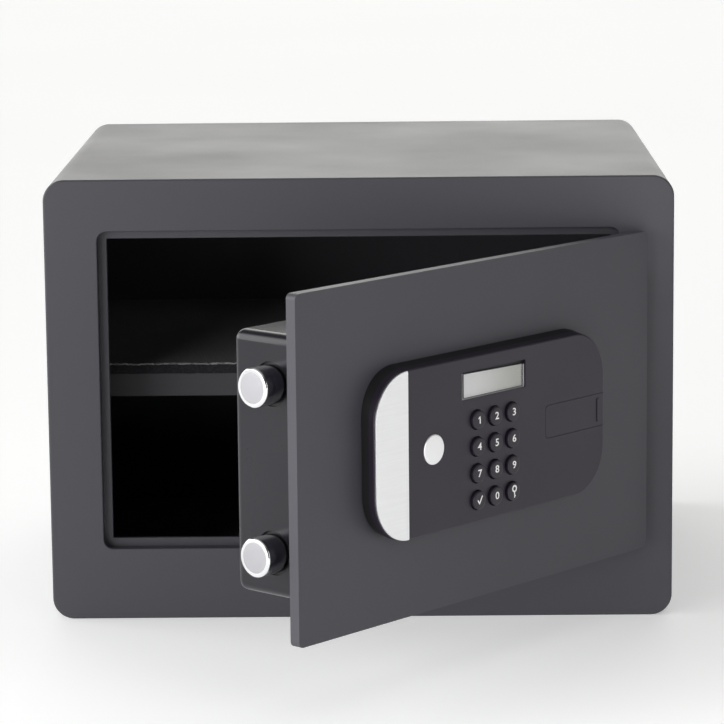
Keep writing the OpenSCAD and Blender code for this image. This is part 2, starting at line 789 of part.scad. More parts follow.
// Front cap with the key holes, the display window and the bed of the sliding cover
module keypad_cap() color("#2c2d30") on_door() difference() {
    union() {
        upright(-pad_t, cap_d) difference() {
            pad_outline(0);
            pad_outline(pad_wall);
        }
        upright(-pad_t, pad_wall) pad_outline(0);
        block(cover_x - cover_bed, pad_x1 - pad_wall, wall_back, cap_back,
            pad_z - cover_h / 2 - cover_bed, pad_z + cover_h / 2 + cover_bed);
    }
    for (i = [-1:1], j = [0:3])
        rod_y(-pad_t - past, wall_back + past, keys_x + i * key_pitch, keys_z - j * key_pitch, key_r + loose);
    block(lcd_x - lcd_w / 2, lcd_x + lcd_w / 2, -pad_t - past, wall_back + past,
        lcd_z - lcd_h / 2, lcd_z + lcd_h / 2);
    upright(-pad_t - past, pad_wall + past)
        rounded(cover_x, pad_x1 + cover_r + past, pad_z - cover_h / 2, pad_z + cover_h / 2, cover_r);
    block(pad_x1 - pad_wall, pad_x1 + past, -pad_t - past, cap_back + past,
        pad_z - cover_h / 2, pad_z + cover_h / 2);
    rod_y(-pad_t, cap_back + past, lock_x, pad_z, lock_r + loose);
}

module end_plate() color("lightgray") on_door() upright(-pad_t - trim_t, trim_t) intersection() {
    pad_outline(trim_inset);
    translate([pad_x0, pad_z - pad_h / 2]) square([trim_w, pad_h]);
}

module blank_disc() color("lightgray") on_door() rod_y(-pad_t - trim_t, -pad_t, disc_x, pad_z, disc_r);

module lcd_window() color("lightcyan") on_door() block(lcd_x - lcd_w / 2 + loose,
    lcd_x + lcd_w / 2 - loose, lcd_sink - pad_t, wall_back, lcd_z - lcd_h / 2 + loose,
    lcd_z + lcd_h / 2 - loose);

// Display module behind the window, on two feet
module lcd_module() color("darkseagreen") on_door() {
    half = lcd_w / 2 + lcd_edge;
    block(lcd_x - half, lcd_x + half, wall_back, wall_back + lcd_t,
        lcd_z - lcd_h / 2 - lcd_edge, lcd_z + lcd_h / 2 + lcd_edge);
    for (side = [-1, 1])
        rod_y(wall_back + lcd_t, -floor_t, lcd_x + side * (half - 2 * boss_r), lcd_z, boss_r);
}

module key_mat() color("darkgray") on_door() upright(mat_front, mat_t) key_grid();

module key_board() color("darkgreen") on_door() upright(mat_front + mat_t, board_t) key_grid();

// Round key with a chamfered rim and a flange that holds it behind the cap
module key(column, row) color("#2a2b2e") on_door() {
    x = keys_x + (column - 1) * key_pitch;
    z = keys_z - row * key_pitch;
    front = key_rim - pad_t - key_up;
    rod_y(front, key_back, x, z, key_r);
    translate([x, front, z]) rotate([90, 0, 0]) cylinder(h = key_rim, r1 = key_r, r2 = key_r - key_rim);
    rod_y(key_back, key_back + key_flange, x, z, key_r + key_flange);
}

// Cover that slides off sideways to uncover the override lock
module override_cover() color("#2c2d30") on_door() difference() {
    union() {
        upright(-pad_t, cover_t) intersection() {
            rounded(cover_x + loose, pad_x1 + 2 * cover_r, pad_z - cover_h / 2 + loose,
                pad_z + cover_h / 2 - loose, cover_r);
            translate([cover_x, pad_z - cover_h / 2]) square([cover_w, cover_h]);
        }
        block(pad_x1 - cover_t, pad_x1, -pad_t, cap_back - loose, pad_z - cover_h / 2 + loose,
            pad_z + cover_h / 2 - loose);
    }
    block(grip_x - grip_w / 2, grip_x + grip_w / 2, -pad_t - past, cover_t / 2 - pad_t,
        pad_z - grip_h / 2, pad_z + grip_h / 2);
}

// Threaded housing of the override lock, with its nut behind the plate
module lock_housing() color("silver") on_door() difference() {
    union() {
        rod_y(wall_back + loose, lock_back, lock_x, pad_z, lock_r);
        translate([lock_x, door_t, pad_z]) rotate([-90, 0, 0])
            cylinder(h = lock_nut_h, r = lock_nut_r, $fn = 6);
    }
    rod_y(-pad_t, lock_back + past, lock_x, pad_z, plug_r + running);
}

module lock_plug() color("goldenrod") on_door() difference() {
    rod_y(wall_back + 2 * loose, lock_back + cam_gap + cam_t, lock_x, pad_z, plug_r);
    block(lock_x - keyhole_w / 2, lock_x + keyhole_w / 2, -pad_t, keyhole_back,
        pad_z - keyhole_h / 2, pad_z + keyhole_h / 2);
}

// Cam on the back of the plug, pointing down when locked
module lock_cam() color("silver") on_door() upright(lock_back + cam_gap, cam_t) difference() {
    union() {
        translate([lock_x, pad_z]) circle(cam_hub_r);
        translate([lock_x - cam_w / 2, pad_z - cam_r + cam_w / 2]) square([cam_w, cam_r - cam_w / 2]);
        translate([lock_x, pad_z - cam_r + cam_w / 2]) circle(cam_w / 2);
    }
    translate([lock_x, pad_z]) circle(plug_r + running);
}

module keypad_screws() color("silver") on_door() for (x = pad_screw_x) {
    rod_y(cap_back + pad_screw_set, door_t, x, pad_screw_z, pad_screw_r);
    rod_y(door_t, door_t + pad_head_h, x, pad_screw_z, pad_head_r);
}

// Flat ribbon from the key board through the plate to the control board
module keypad_cable() color("dimgray") on_door() {
    x0 = cable_x - cable_w / 2;
    grid_top = grid_z + keys_h / 2;
    block(x0, x0 + cable_w, board_back, board_back + cable_t, grid_top - cable_end, cable_z + cable_t / 2);
    block(x0, x0 + cable_w, board_back, panel_y, cable_z - cable_t / 2, cable_z + cable_t / 2);
}

module panel_corners() {
    for (x = [panel_x0 + panel_in, panel_x1 - panel_in],
        z = [panel_z0 + panel_in, panel_z0 + panel_w - panel_in])
        translate([x, 0, z]) children();
}

module control_board() color("darkgreen") on_door() translate([panel_x0, panel_y, panel_z0]) {
    cube([panel_w, board_t, panel_w]);
    for (c = chips) translate([c[0], board_t, c[1]]) cube([c[2], c[4], c[3]]);
    rod_y(board_t, board_t + buzzer_h, buzzer_x, buzzer_z, buzzer_r);
}

module board_posts() color("silver") on_door() panel_corners() rod_y(door_t, panel_y, 0, 0, post_r);

// Open tray for four cells, hung from the back of the lock box
module battery_tray() color("#1b1c1e") on_door() difference() {
    union() {
        block(tray_x0, tray_x1, tray_y, box_in, tray_z0, tray_z1);
        block(lid_x0, tray_x1 + tray_lip_end, box_in - tray_wall, box_in,
            tray_z0 - tray_lip_low, tray_z1 + tray_lip);
    }
    for (row = [0, 1]) {
        z = tray_z0 + tray_wall + row * row_step;
        block(tray_x0 + tray_wall, tray_x1 - tray_wall, tray_y + tray_wall, box_in + past,
            z, z + 2 * cell_r + loose);
    }
}

module batteries() color("orange") on_door() for (row = [0, 1], column = [0, 1])
    translate([tray_x0 + tray_wall + contact_l + column * (cell_l + cell_gap), cell_y,
        cell_z + row * row_step]) {
        rod_x(0, cell_l - nub_h, 0, 0, cell_r - running);
        rod_x(cell_l - nub_h, cell_l, 0, 0, nub_r);
    }

// Plate and spring at each end of the two rows of cells
module battery_contacts() color("silver") on_door() for (end = [0, 1], row = [0, 1]) {
    z = cell_z + row * row_step;
    x = end == 0 ? tray_x0 + tray_wall : tray_x1 - tray_wall - contact_l;
    plate = end == 0 ? x : x + contact_l - contact_t;
    block(plate, plate + contact_t, cell_y - contact_w / 2, cell_y + contact_w / 2,
        z - contact_w / 2, z + contact_w / 2);
    rod_x(x, x + contact_l, cell_y, z, spring_r);
}

// Two hooked rails on the back of the box that the battery lid slides in
module lid_rails() color("#26272a") on_door() for (top = [0, 1]) {
    z = top == 1 ? lid_z1 + loose : lid_z0 - loose - rail_w;
    hook = top == 1 ? z - rail_hook : z;
    rail_y = box_back + lid_t + loose;
    block(lid_x0, lid_x1, box_back, rail_y, z, z + rail_w);
    block(lid_x0, lid_x1, rail_y, rail_y + rail_t, hook, hook + rail_w + rail_hook);
}

module battery_lid() color("#1b1c1e") on_door() difference() {
    block(lid_x0, lid_x1, box_back + loose / 2, box_back + lid_t, lid_z0, lid_z1);
    for (i = [0:lid_ribs - 1]) {
        x = lid_x0 + rib_in + 2 * i * rib_w;
        block(x, x + rib_w, box_back + lid_t - rib_deep, box_back + lid_t + past,
            lid_z0 + rib_in, lid_z1 - rib_in);
    }
}

// Push button in the back of the box, held by a flange behind its hole
module reset_button() color("firebrick") on_door() {
    flange = box_in - loose;
    rod_y(flange - button_flange_t, box_back + button_up, button_x, button_z, button_r);
    rod_y(flange - button_flange_t, flange, button_x, button_z, button_r + button_flange);
}

cabinet_wrap();
front_frame();
door_stop();
back_plate();
bolt_strike();
hinge_brackets();
hinge_pins();
shelf();
shelf_felt();
shelf_brackets();
floor_felt();
door_plate();
hinge_arms();
lock_box();
box_posts();
box_screws();
guide_bushes();
lock_bolts();
bolt_nuts();
bolt_bar();
gear_motor();
motor_bracket();
motor_screws();
drive_pinion();
keypad_base();
keypad_cap();
end_plate();
blank_disc();
lcd_window();
lcd_module();
key_mat();
key_board();
keypad_screws();
keypad_cable();
key(0, 0);  // key_1
key(1, 0);  // key_2
key(2, 0);  // key_3
key(0, 1);  // key_4
key(1, 1);  // key_5
key(2, 1);  // key_6
key(0, 2);  // key_7
key(1, 2);  // key_8
key(2, 2);  // key_9
key(0, 3);  // key_ok
key(1, 3);  // key_0
key(2, 3);  // key_lock
override_cover();
lock_housing();
lock_plug();
lock_cam();
control_board();
board_posts();
battery_tray();
batteries();
battery_contacts();
lid_rails();
battery_lid();
reset_button();
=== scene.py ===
"""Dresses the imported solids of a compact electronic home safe.

Sizes are in millimetres, in the frame of the front face: x runs to the right, y from the
front face into the safe, and z up from the floor. Door pieces are drawn with the door
shut, and are turned about the hinge when they are placed.
"""

import json
import logging
import math
from dataclasses import dataclass
from enum import Enum
from typing import Callable, Optional, Sequence, Union

import bmesh
import bpy
from mathutils import Matrix, Vector, noise

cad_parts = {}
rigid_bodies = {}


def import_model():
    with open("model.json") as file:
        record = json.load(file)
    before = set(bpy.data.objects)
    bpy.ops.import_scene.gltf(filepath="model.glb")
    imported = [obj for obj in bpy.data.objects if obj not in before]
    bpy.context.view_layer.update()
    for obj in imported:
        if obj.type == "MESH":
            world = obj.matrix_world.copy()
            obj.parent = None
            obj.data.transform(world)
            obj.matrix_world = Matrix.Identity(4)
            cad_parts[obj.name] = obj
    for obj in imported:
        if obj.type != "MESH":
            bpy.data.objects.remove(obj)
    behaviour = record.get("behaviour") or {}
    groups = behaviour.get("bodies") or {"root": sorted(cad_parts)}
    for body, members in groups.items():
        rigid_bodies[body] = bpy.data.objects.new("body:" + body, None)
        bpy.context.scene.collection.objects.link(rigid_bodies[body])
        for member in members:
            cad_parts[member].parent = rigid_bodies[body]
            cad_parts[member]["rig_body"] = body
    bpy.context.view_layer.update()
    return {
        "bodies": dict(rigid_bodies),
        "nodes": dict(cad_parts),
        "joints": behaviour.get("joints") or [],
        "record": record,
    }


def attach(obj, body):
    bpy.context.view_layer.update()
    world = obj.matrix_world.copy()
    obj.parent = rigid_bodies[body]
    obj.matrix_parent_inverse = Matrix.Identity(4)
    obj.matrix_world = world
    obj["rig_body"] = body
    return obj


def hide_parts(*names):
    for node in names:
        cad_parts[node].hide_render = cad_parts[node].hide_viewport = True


Span = tuple[float, float]
Triple = tuple[float, float, float]
Outline = tuple[Span, Span, float]
Test = Callable[[Vector], bool]
Tree = bpy.types.NodeTree
Node = bpy.types.Node
Socket = bpy.types.NodeSocket

LOG = logging.getLogger("safe")
MM = 0.001
# How far a cutting tool reaches past what it cuts
PAST = 1.0
# Slack where the place of a face or an edge is compared
NEAR = 0.01
# Corners closer than this are one
MERGE = 1e-4

# Places that several sub-assemblies share
KEY_XS: Triple = (-16.7, -2.5, 11.7)
KEY_ZS = (139.75, 125.55, 111.35, 97.15)
BOLT_Y = 24.7
BOLT_ZS: Span = (85.25, 171.45)
LOCK_AT: Span = (60.4, 129.5)
LOCK_HOLE = 7.2
CABLE_AT: Span = (5.0, 150.75)
CABLE_HOLE = 8.0
RESET_AT: Span = (88.0, 174.95)
ANCHOR_XS: Span = (-100.0, 100.0)


class Axis(Enum):
    """The direction that a turned piece's axis runs in."""

    X = 0
    Y = 1
    Z = 2


class Rounding(Enum):
    """What a rounding takes off."""

    POINTS = "VERTICES"
    EDGES = "EDGES"


class Meeting(Enum):
    """What is left where two blanks meet."""

    CUT = "DIFFERENCE"
    KEPT = "INTERSECT"
    FUSED = "UNION"


def linear(code: str) -> tuple[float, float, float, float]:
    """Turns an sRGB colour to the linear one that a shader takes.

    Args:
        code: The colour as "#rrggbb".

    Returns:
        Red, green and blue, and an alpha of 1.
    """
    parts = (int(code[i : i + 2], 16) / 255 for i in (1, 3, 5))
    red, green, blue = (c / 12.92 if c <= 0.04045 else ((c + 0.055) / 1.055) ** 2.4 for c in parts)
    return red, green, blue, 1.0


def add(
    tree: Tree,
    kind: str,
    values: Optional[dict] = None,
    links: Optional[dict] = None,
    **settings: object,
) -> Node:
    """Adds a shader node with its settings and links.

    Args:
        tree: The material's or the world's node tree.
        kind: The node's type, without "ShaderNode".
        values: Values of inputs, by name or number.
        links: Output sockets that feed inputs, by name or number.
        settings: The node's own properties.

    Returns:
        The new node.
    """
    node = tree.nodes.new("ShaderNode" + kind)
    for name, value in settings.items():
        setattr(node, name, value)
    for name, value in (values or {}).items():
        node.inputs[name].default_value = value
    for name, socket in (links or {}).items():
        tree.links.new(socket, node.inputs[name])
    return node


def shown(name: str, data: bpy.types.ID) -> bpy.types.Object:
    """Makes an object of its data and puts it into the scene."""
    made = bpy.data.objects.new(name, data)
    bpy.context.scene.collection.objects.link(made)
    return made


@dataclass(frozen=True)
class Finish:
    """What every finish shares.

    Attributes:
        name: The material's name.
        colour: Its colour, as sRGB hex.
        roughness: How blurred its reflections are.
        metallic: 1 for bare metal.
        ior: Index of refraction. A metal keeps the default.
        coat: Strength of a clear coat.
    """

    name: str
    colour: str
    roughness: float
    metallic: float = 0.0
    ior: float = 1.5
    coat: float = 0.0

    def material(self, turn: Optional[Matrix]) -> bpy.types.Material:
        """Makes the finish as a material, once for the cabinet and once for the door.

        Args:
            turn: Takes a point of the open door back to where it is when shut.

        Returns:
            The material.
        """
        name = self.name + ("" if turn is None else "_door")
        if name in bpy.data.materials:
            return bpy.data.materials[name]
        material = bpy.data.materials.new(name)
        material.use_nodes = True
        material.diffuse_color = linear(self.colour)
        tree = material.node_tree
        tree.nodes.clear()
        values = {
            "Base Color": linear(self.colour),
            "Roughness": self.roughness,
            "Metallic": self.metallic,
            "IOR": self.ior,
            "Coat Weight": self.coat,
        }
        shader = add(tree, "BsdfPrincipled", values)
        add(tree, "OutputMaterial", links={"Surface": shader.outputs[0]})
        place = add(tree, "TexCoord").outputs["Object"]
        if turn is not None:
            where = {"Location": turn.to_translation(), "Rotation": turn.to_euler()}
            place = add(tree, "Mapping", where, {"Vector": place}).outputs[0]
        self.dress(tree, shader, place)
        return material

    def dress(self, tree: Tree, shader: Node, place: Socket) -> None:
        """Adds the finish's own pattern.

        Args:
            tree: The material's node tree.
            shader: Its shader.
            place: Gives a point's place, in metres, with the door shut.
        """

    def follow(
        self,
        tree: Tree,
        shader: Node,
        pattern: Socket,
        relief: Socket,
        second: str,
        depth: float,
        stray: float = 0.0,
    ) -> None:
        """Lets one pattern drive the colour and the gloss, and one the relief.

        Args:
            tree: The material's node tree.
            shader: Its shader.
            pattern: The share of the second colour, from 0 to 1.
            relief: The height of the relief, from 0 to 1.
            second: The second colour, as sRGB hex.
            depth: The relief's depth.
            stray: How far the roughness strays while the pattern goes from 0.3 to 0.7,
                which is where noise mostly lies. At 0, the roughness is even.
        """
        mix = {6: linear(self.colour), 7: linear(second)}
        fed = {
            "Base Color": add(tree, "Mix", mix, {0: pattern}, data_type="RGBA").outputs[2],
            "Normal": add(tree, "Bump", {"Distance": depth * MM}, {"Height": relief}).outputs[0],
        }
        if stray:
            low, high = self.roughness - stray, self.roughness + stray
            span = {"From Min": 0.3, "From Max": 0.7, "To Min": low, "To Max": high}
            fed["Roughness"] = add(tree, "MapRange", span, {"Value": pattern}).outputs[0]
        for name, socket in fed.items():
            tree.links.new(socket, shader.inputs[name])


@dataclass(frozen=True)
class Grained(Finish):
    """Paint, powder coat or moulded plastic: a fine grain over slow patches.

    Attributes:
        grain: Size of the grain.
        depth: Height of the grain.
        patch: Size of the slow patches.
        second: The colour that the patches reach, as sRGB hex.
        uneven: How far the roughness strays.
    """

    grain: float = 0.5
    depth: float = 0.01
    patch: float = 60.0
    second: str = ""
    uneven: float = 0.04

    def dress(self, tree: Tree, shader: Node, place: Socket) -> None:
        """See Finish.dress."""
        fine, wide = (
            add(tree, "TexNoise", {"Scale": 1 / size / MM, "Detail": detail}, {"Vector": place})
            for size, detail in ((self.grain, 3.0), (self.patch, 4.0))
        )
        second = self.second or self.colour
        pattern, relief = wide.outputs[0], fine.outputs[0]
        self.follow(tree, shader, pattern, relief, second, self.depth, self.uneven)


@dataclass(frozen=True)
class Drawn(Finish):
    """Metal with fine lines, as brushing, rolling or turning leaves them.

    Attributes:
        lines: Size of the lines along x, y and z.
        depth: Depth of the lines.
        second: The colour of the lines, as sRGB hex.
        uneven: How far the roughness strays.
    """

    lines: Triple = (30.0, 30.0, 0.3)
    depth: float = 0.004
    second: str = "#ffffff"
    uneven: float = 0.06

    def dress(self, tree: Tree, shader: Node, place: Socket) -> None:
        """See Finish.dress."""
        scale = Vector(1 / size / MM for size in self.lines)
        drawn = add(tree, "Mapping", {"Scale": scale}, {"Vector": place}).outputs[0]
        line = add(tree, "TexNoise", {"Scale": 1.0, "Detail": 4.0}, {"Vector": drawn}).outputs[0]
        self.follow(tree, shader, line, line, self.second, self.depth, self.uneven)


@dataclass(frozen=True)
class Felted(Finish):
    """Needled felt: matted fibres that catch the light on their tips.

    Attributes:
        fibre: Width of a tuft of fibres.
        depth: Height of the nap.
        second: The colour of the tips, as sRGB hex.
        sheen: How much the tips catch light that grazes them.
    """

    fibre: float = 0.8
    depth: float = 0.5
    second: str = "#3c3c3e"
    sheen: float = 0.22

    def dress(self, tree: Tree, shader: Node, place: Socket) -> None:
        """See Finish.dress."""
        shader.inputs["Sheen Weight"].default_value = self.sheen
        shader.inputs["Sheen Roughness"].default_value = 0.5
        values = {
            "Scale": 1 / self.fibre / MM,
            "Detail": 6.0,
            "Roughness": 0.7,
            "Distortion": 1.5,
        }
        nap = add(tree, "TexNoise", values, {"Vector": place}).outputs[0]
        values = {"Scale": 0.6 / self.fibre / MM}
        lint = add(tree, "TexVoronoi", values, {"Vector": place}).outputs[0]
        height = add(tree, "Math", {}, {0: nap, 1: lint}, operation="MULTIPLY").outputs[0]
        self.follow(tree, shader, height, height, self.second, self.depth)


@dataclass(frozen=True)
class PaintedReflectionFade(Finish):
    """A display's reflector, which greys from its left end to its right: a painted reflection,
    fading from white to grey.

    Attributes:
        second: The colour at the right end, where the painted reflection has faded out, as sRGB
            hex.
        span: The x of the left and of the right end.
        grain: Size of its fine grain.
        depth: Height of the grain.
    """

    second: str = "#ffffff"
    span: Span = (0.0, 1.0)
    grain: float = 0.25
    depth: float = 0.002

    def dress(self, tree: Tree, shader: Node, place: Socket) -> None:
        """See Finish.dress."""
        # The second colour's share grows from left to right: a painted reflection, not the film's
        # own colour
        x = add(tree, "SeparateXYZ", links={"Vector": place}).outputs[0]
        ends = {"From Min": self.span[0] * MM, "From Max": self.span[1] * MM}
        share = add(tree, "MapRange", ends, {"Value": x}, interpolation_type="SMOOTHSTEP")
        values = {"Scale": 1 / self.grain / MM, "Detail": 2.0}
        fine = add(tree, "TexNoise", values, {"Vector": place})
        self.follow(tree, shader, share.outputs[0], fine.outputs[0], self.second, self.depth)


@dataclass(frozen=True)
class Clear(Grained):
    """Clear moulded acrylic."""

    def dress(self, tree: Tree, shader: Node, place: Socket) -> None:
        """See Finish.dress."""
        shader.inputs["Transmission Weight"].default_value = 1.0
        super().dress(tree, shader, place)


@dataclass(frozen=True)
class Backlit(Grained):
    """White paper, lit through from behind so that shadows on it stay faint.

    Attributes:
        glow: Its own light.
    """

    glow: float = 0.34

    def dress(self, tree: Tree, shader: Node, place: Socket) -> None:
        """See Finish.dress."""
        shader.inputs["Emission Color"].default_value = linear(self.colour)
        shader.inputs["Emission Strength"].default_value = self.glow
        super().dress(tree, shader, place)


# Polyester powder, baked on sheet steel: matt, with an even grain that grazing light shows
POWDER = Grained(
    "textured_powder_coat", "#3e3d44", 0.5, grain=0.8, depth=0.06, patch=90.0, second="#414047"
)
# The same coat inside and on brackets: darker, as painted shade, and flatter
POWDER_SHADED = Grained(
    "inner_powder_coat_painted_shade", "#363539", 0.55, grain=0.8, depth=0.05, second="#39383d"
)
# Sprayed satin enamel: smoother and glossier than powder, with a faint orange peel
ENAMEL = Grained(
    "satin_black_enamel", "#121019", 0.26, ior=1.46, grain=1.6, depth=0.006, second="#14121b"
)
# Spark-eroded ABS: dark and silky, without lines
HOUSING = Grained(
    "moulded_abs_satin", "#201826", 0.42, grain=0.3, depth=0.004, patch=40.0, second="#221a28"
)
# Coarser moulded ABS: near black, and matt. On the display window's edges it is painted shade
BLACK_ABS = Grained("moulded_abs_matt", "#111113", 0.5, grain=0.3, depth=0.006, second="#141416")
# Silicone and ABS keys: a touch darker than the housing, as silky
KEYCAP = Grained("moulded_keycap", "#1e1724", 0.42, grain=0.25, depth=0.003, second="#201926")
# Grey ABS of the ledge beside the display's glass: mid grey and silky
GREY_ABS = Grained("grey_moulded_ledge", "#8e8d92", 0.45, grain=0.3, depth=0.002, second="#949398")
# Grey ABS of the frame round the display: paler than the ledge
BEZEL = Grained("grey_moulded_frame", "#b9b8bd", 0.4, grain=0.3, depth=0.002, second="#bfbec2")
# Pad-printed white ink: bright and dead matt
INK = Grained("printed_white_ink", "#f4f4f2", 0.6, grain=0.2, depth=0.002, second="#eeeeec")
# Cast clear acrylic, polished: sharp reflections over what lies behind it
ACRYLIC = Clear("clear_acrylic", "#ffffff", 0.04, ior=1.49, grain=5.0, depth=0.0001, uneven=0.01)
# Film reflector behind the display's glass, with a painted reflection: white at its left, fading to
# a greenish grey at its right
REFLECTOR = PaintedReflectionFade("display_reflector_painted_reflection", "#ffffff", 0.4, second="#c9cac0", span=(-24.0, 26.0))
# Needled polyester felt: black, with grey tips
FELT = Felted("needled_black_felt", "#121215", 0.95, second="#2e2e35")
# The same felt along its fold, pale as a painted highlight where fibres catch the light
FELT_HIGHLIGHT = Felted("felt_edge_painted_highlight", "#4a4a4c", 0.95, fibre=1.5, second="#c8c8c9")
# Sheet aluminium, brushed along its width: short bright lines
BRUSHED = Drawn(
    "brushed_aluminium", "#f0f0f2", 0.42, 1.0, lines=(22.0, 22.0, 0.35), second="#ffffff"
)
# Aluminium with a fine satin blast: bright and soft, without a direction
SATIN = Drawn("satin_aluminium", "#f6f6f8", 0.4, 1.0, lines=(0.6, 0.6, 0.6), depth=0.003)
# Satin chrome over turned steel: rings along the shank
CHROME = Drawn(
    "satin_chrome", "#c4c5c8", 0.2, 1.0, lines=(0.5, 40.0, 40.0), depth=0.002, second="#cfd0d3"
)
# Chrome over faced steel, at the bolts' ends: a blurred, even grey
FACED = Drawn(
    "faced_chrome", "#aeadb1", 0.34, 1.0, lines=(5.0, 0.7, 0.7), depth=0.003, second="#bab9bd"
)
# Polished chrome of the narrow ring round each face: a sharp bright line
POLISHED = Drawn(
    "polished_chrome", "#dfe0e2", 0.08, 1.0, lines=(9.0, 9.0, 9.0), depth=0.0005, uneven=0.02
)
# Turned steel, oiled: grey, with faint rings
STEEL = Drawn("turned_steel", "#a9aaad", 0.3, 1.0, lines=(40.0, 40.0, 0.4), second="#bcbdc0")
# Zinc plate, clear passivated: pale, with a bluish cloud
ZINC = Grained(
    "zinc_plate", "#b4b8be", 0.34, 1.0, grain=1.2, depth=0.004, patch=6.0,
    second="#c9ccd0", uneven=0.08
)
# Nickel plate on spring steel and on the lock: warm and bright
NICKEL = Grained(
    "nickel_plate", "#cfccc4", 0.2, 1.0, grain=2.0, depth=0.001, patch=4.0, second="#d9d6cf"
)
# Machined brass of the lock and the pinion: yellow, with fine rings
BRASS = Drawn(
    "machined_brass", "#c8a45c", 0.28, 1.0, lines=(0.4, 40.0, 0.4), second="#d8b66e"
)
# Black acetal: waxy and smooth
ACETAL = Grained("black_acetal", "#141416", 0.38, grain=2.0, depth=0.003, second="#17171a")
# Silicone rubber mat: grey and matt
SILICONE = Grained("grey_silicone", "#6e6f72", 0.6, grain=0.6, depth=0.004, second="#77787b")
# Glass-fibre board under solder mask: glossy green with a faint weave
BOARD = Grained(
    "green_solder_mask", "#1d5a38", 0.32, grain=1.2, depth=0.02, patch=5.0, second="#267047"
)
# Flat polyester ribbon: grey and dull
RIBBON = Grained("grey_ribbon_cable", "#8b8d90", 0.5, grain=0.9, depth=0.02, second="#96989b")
# Shrink sleeve of the cells: glossy black
SLEEVE = Grained(
    "black_shrink_sleeve", "#18181b", 0.25, grain=3.0, depth=0.004, second="#1c1c20", coat=0.3
)
# The sleeve's printed end: copper, a little metallic
SLEEVE_END = Grained(
    "copper_shrink_sleeve", "#b06a35", 0.28, 0.5, grain=3.0, depth=0.004, second="#bd763f"
)
# Studio paper under the safe: white and dead matt
PAPER = Backlit(
    "matt_paper", "#f1f1f1", 0.9, grain=3.0, depth=0.01, patch=900.0, second="#efefef"
)
# Moulded ABS of the reset button: bright red
RED = Grained("red_moulded_button", "#b3261e", 0.35, grain=0.4, depth=0.003, second="#a8221b")


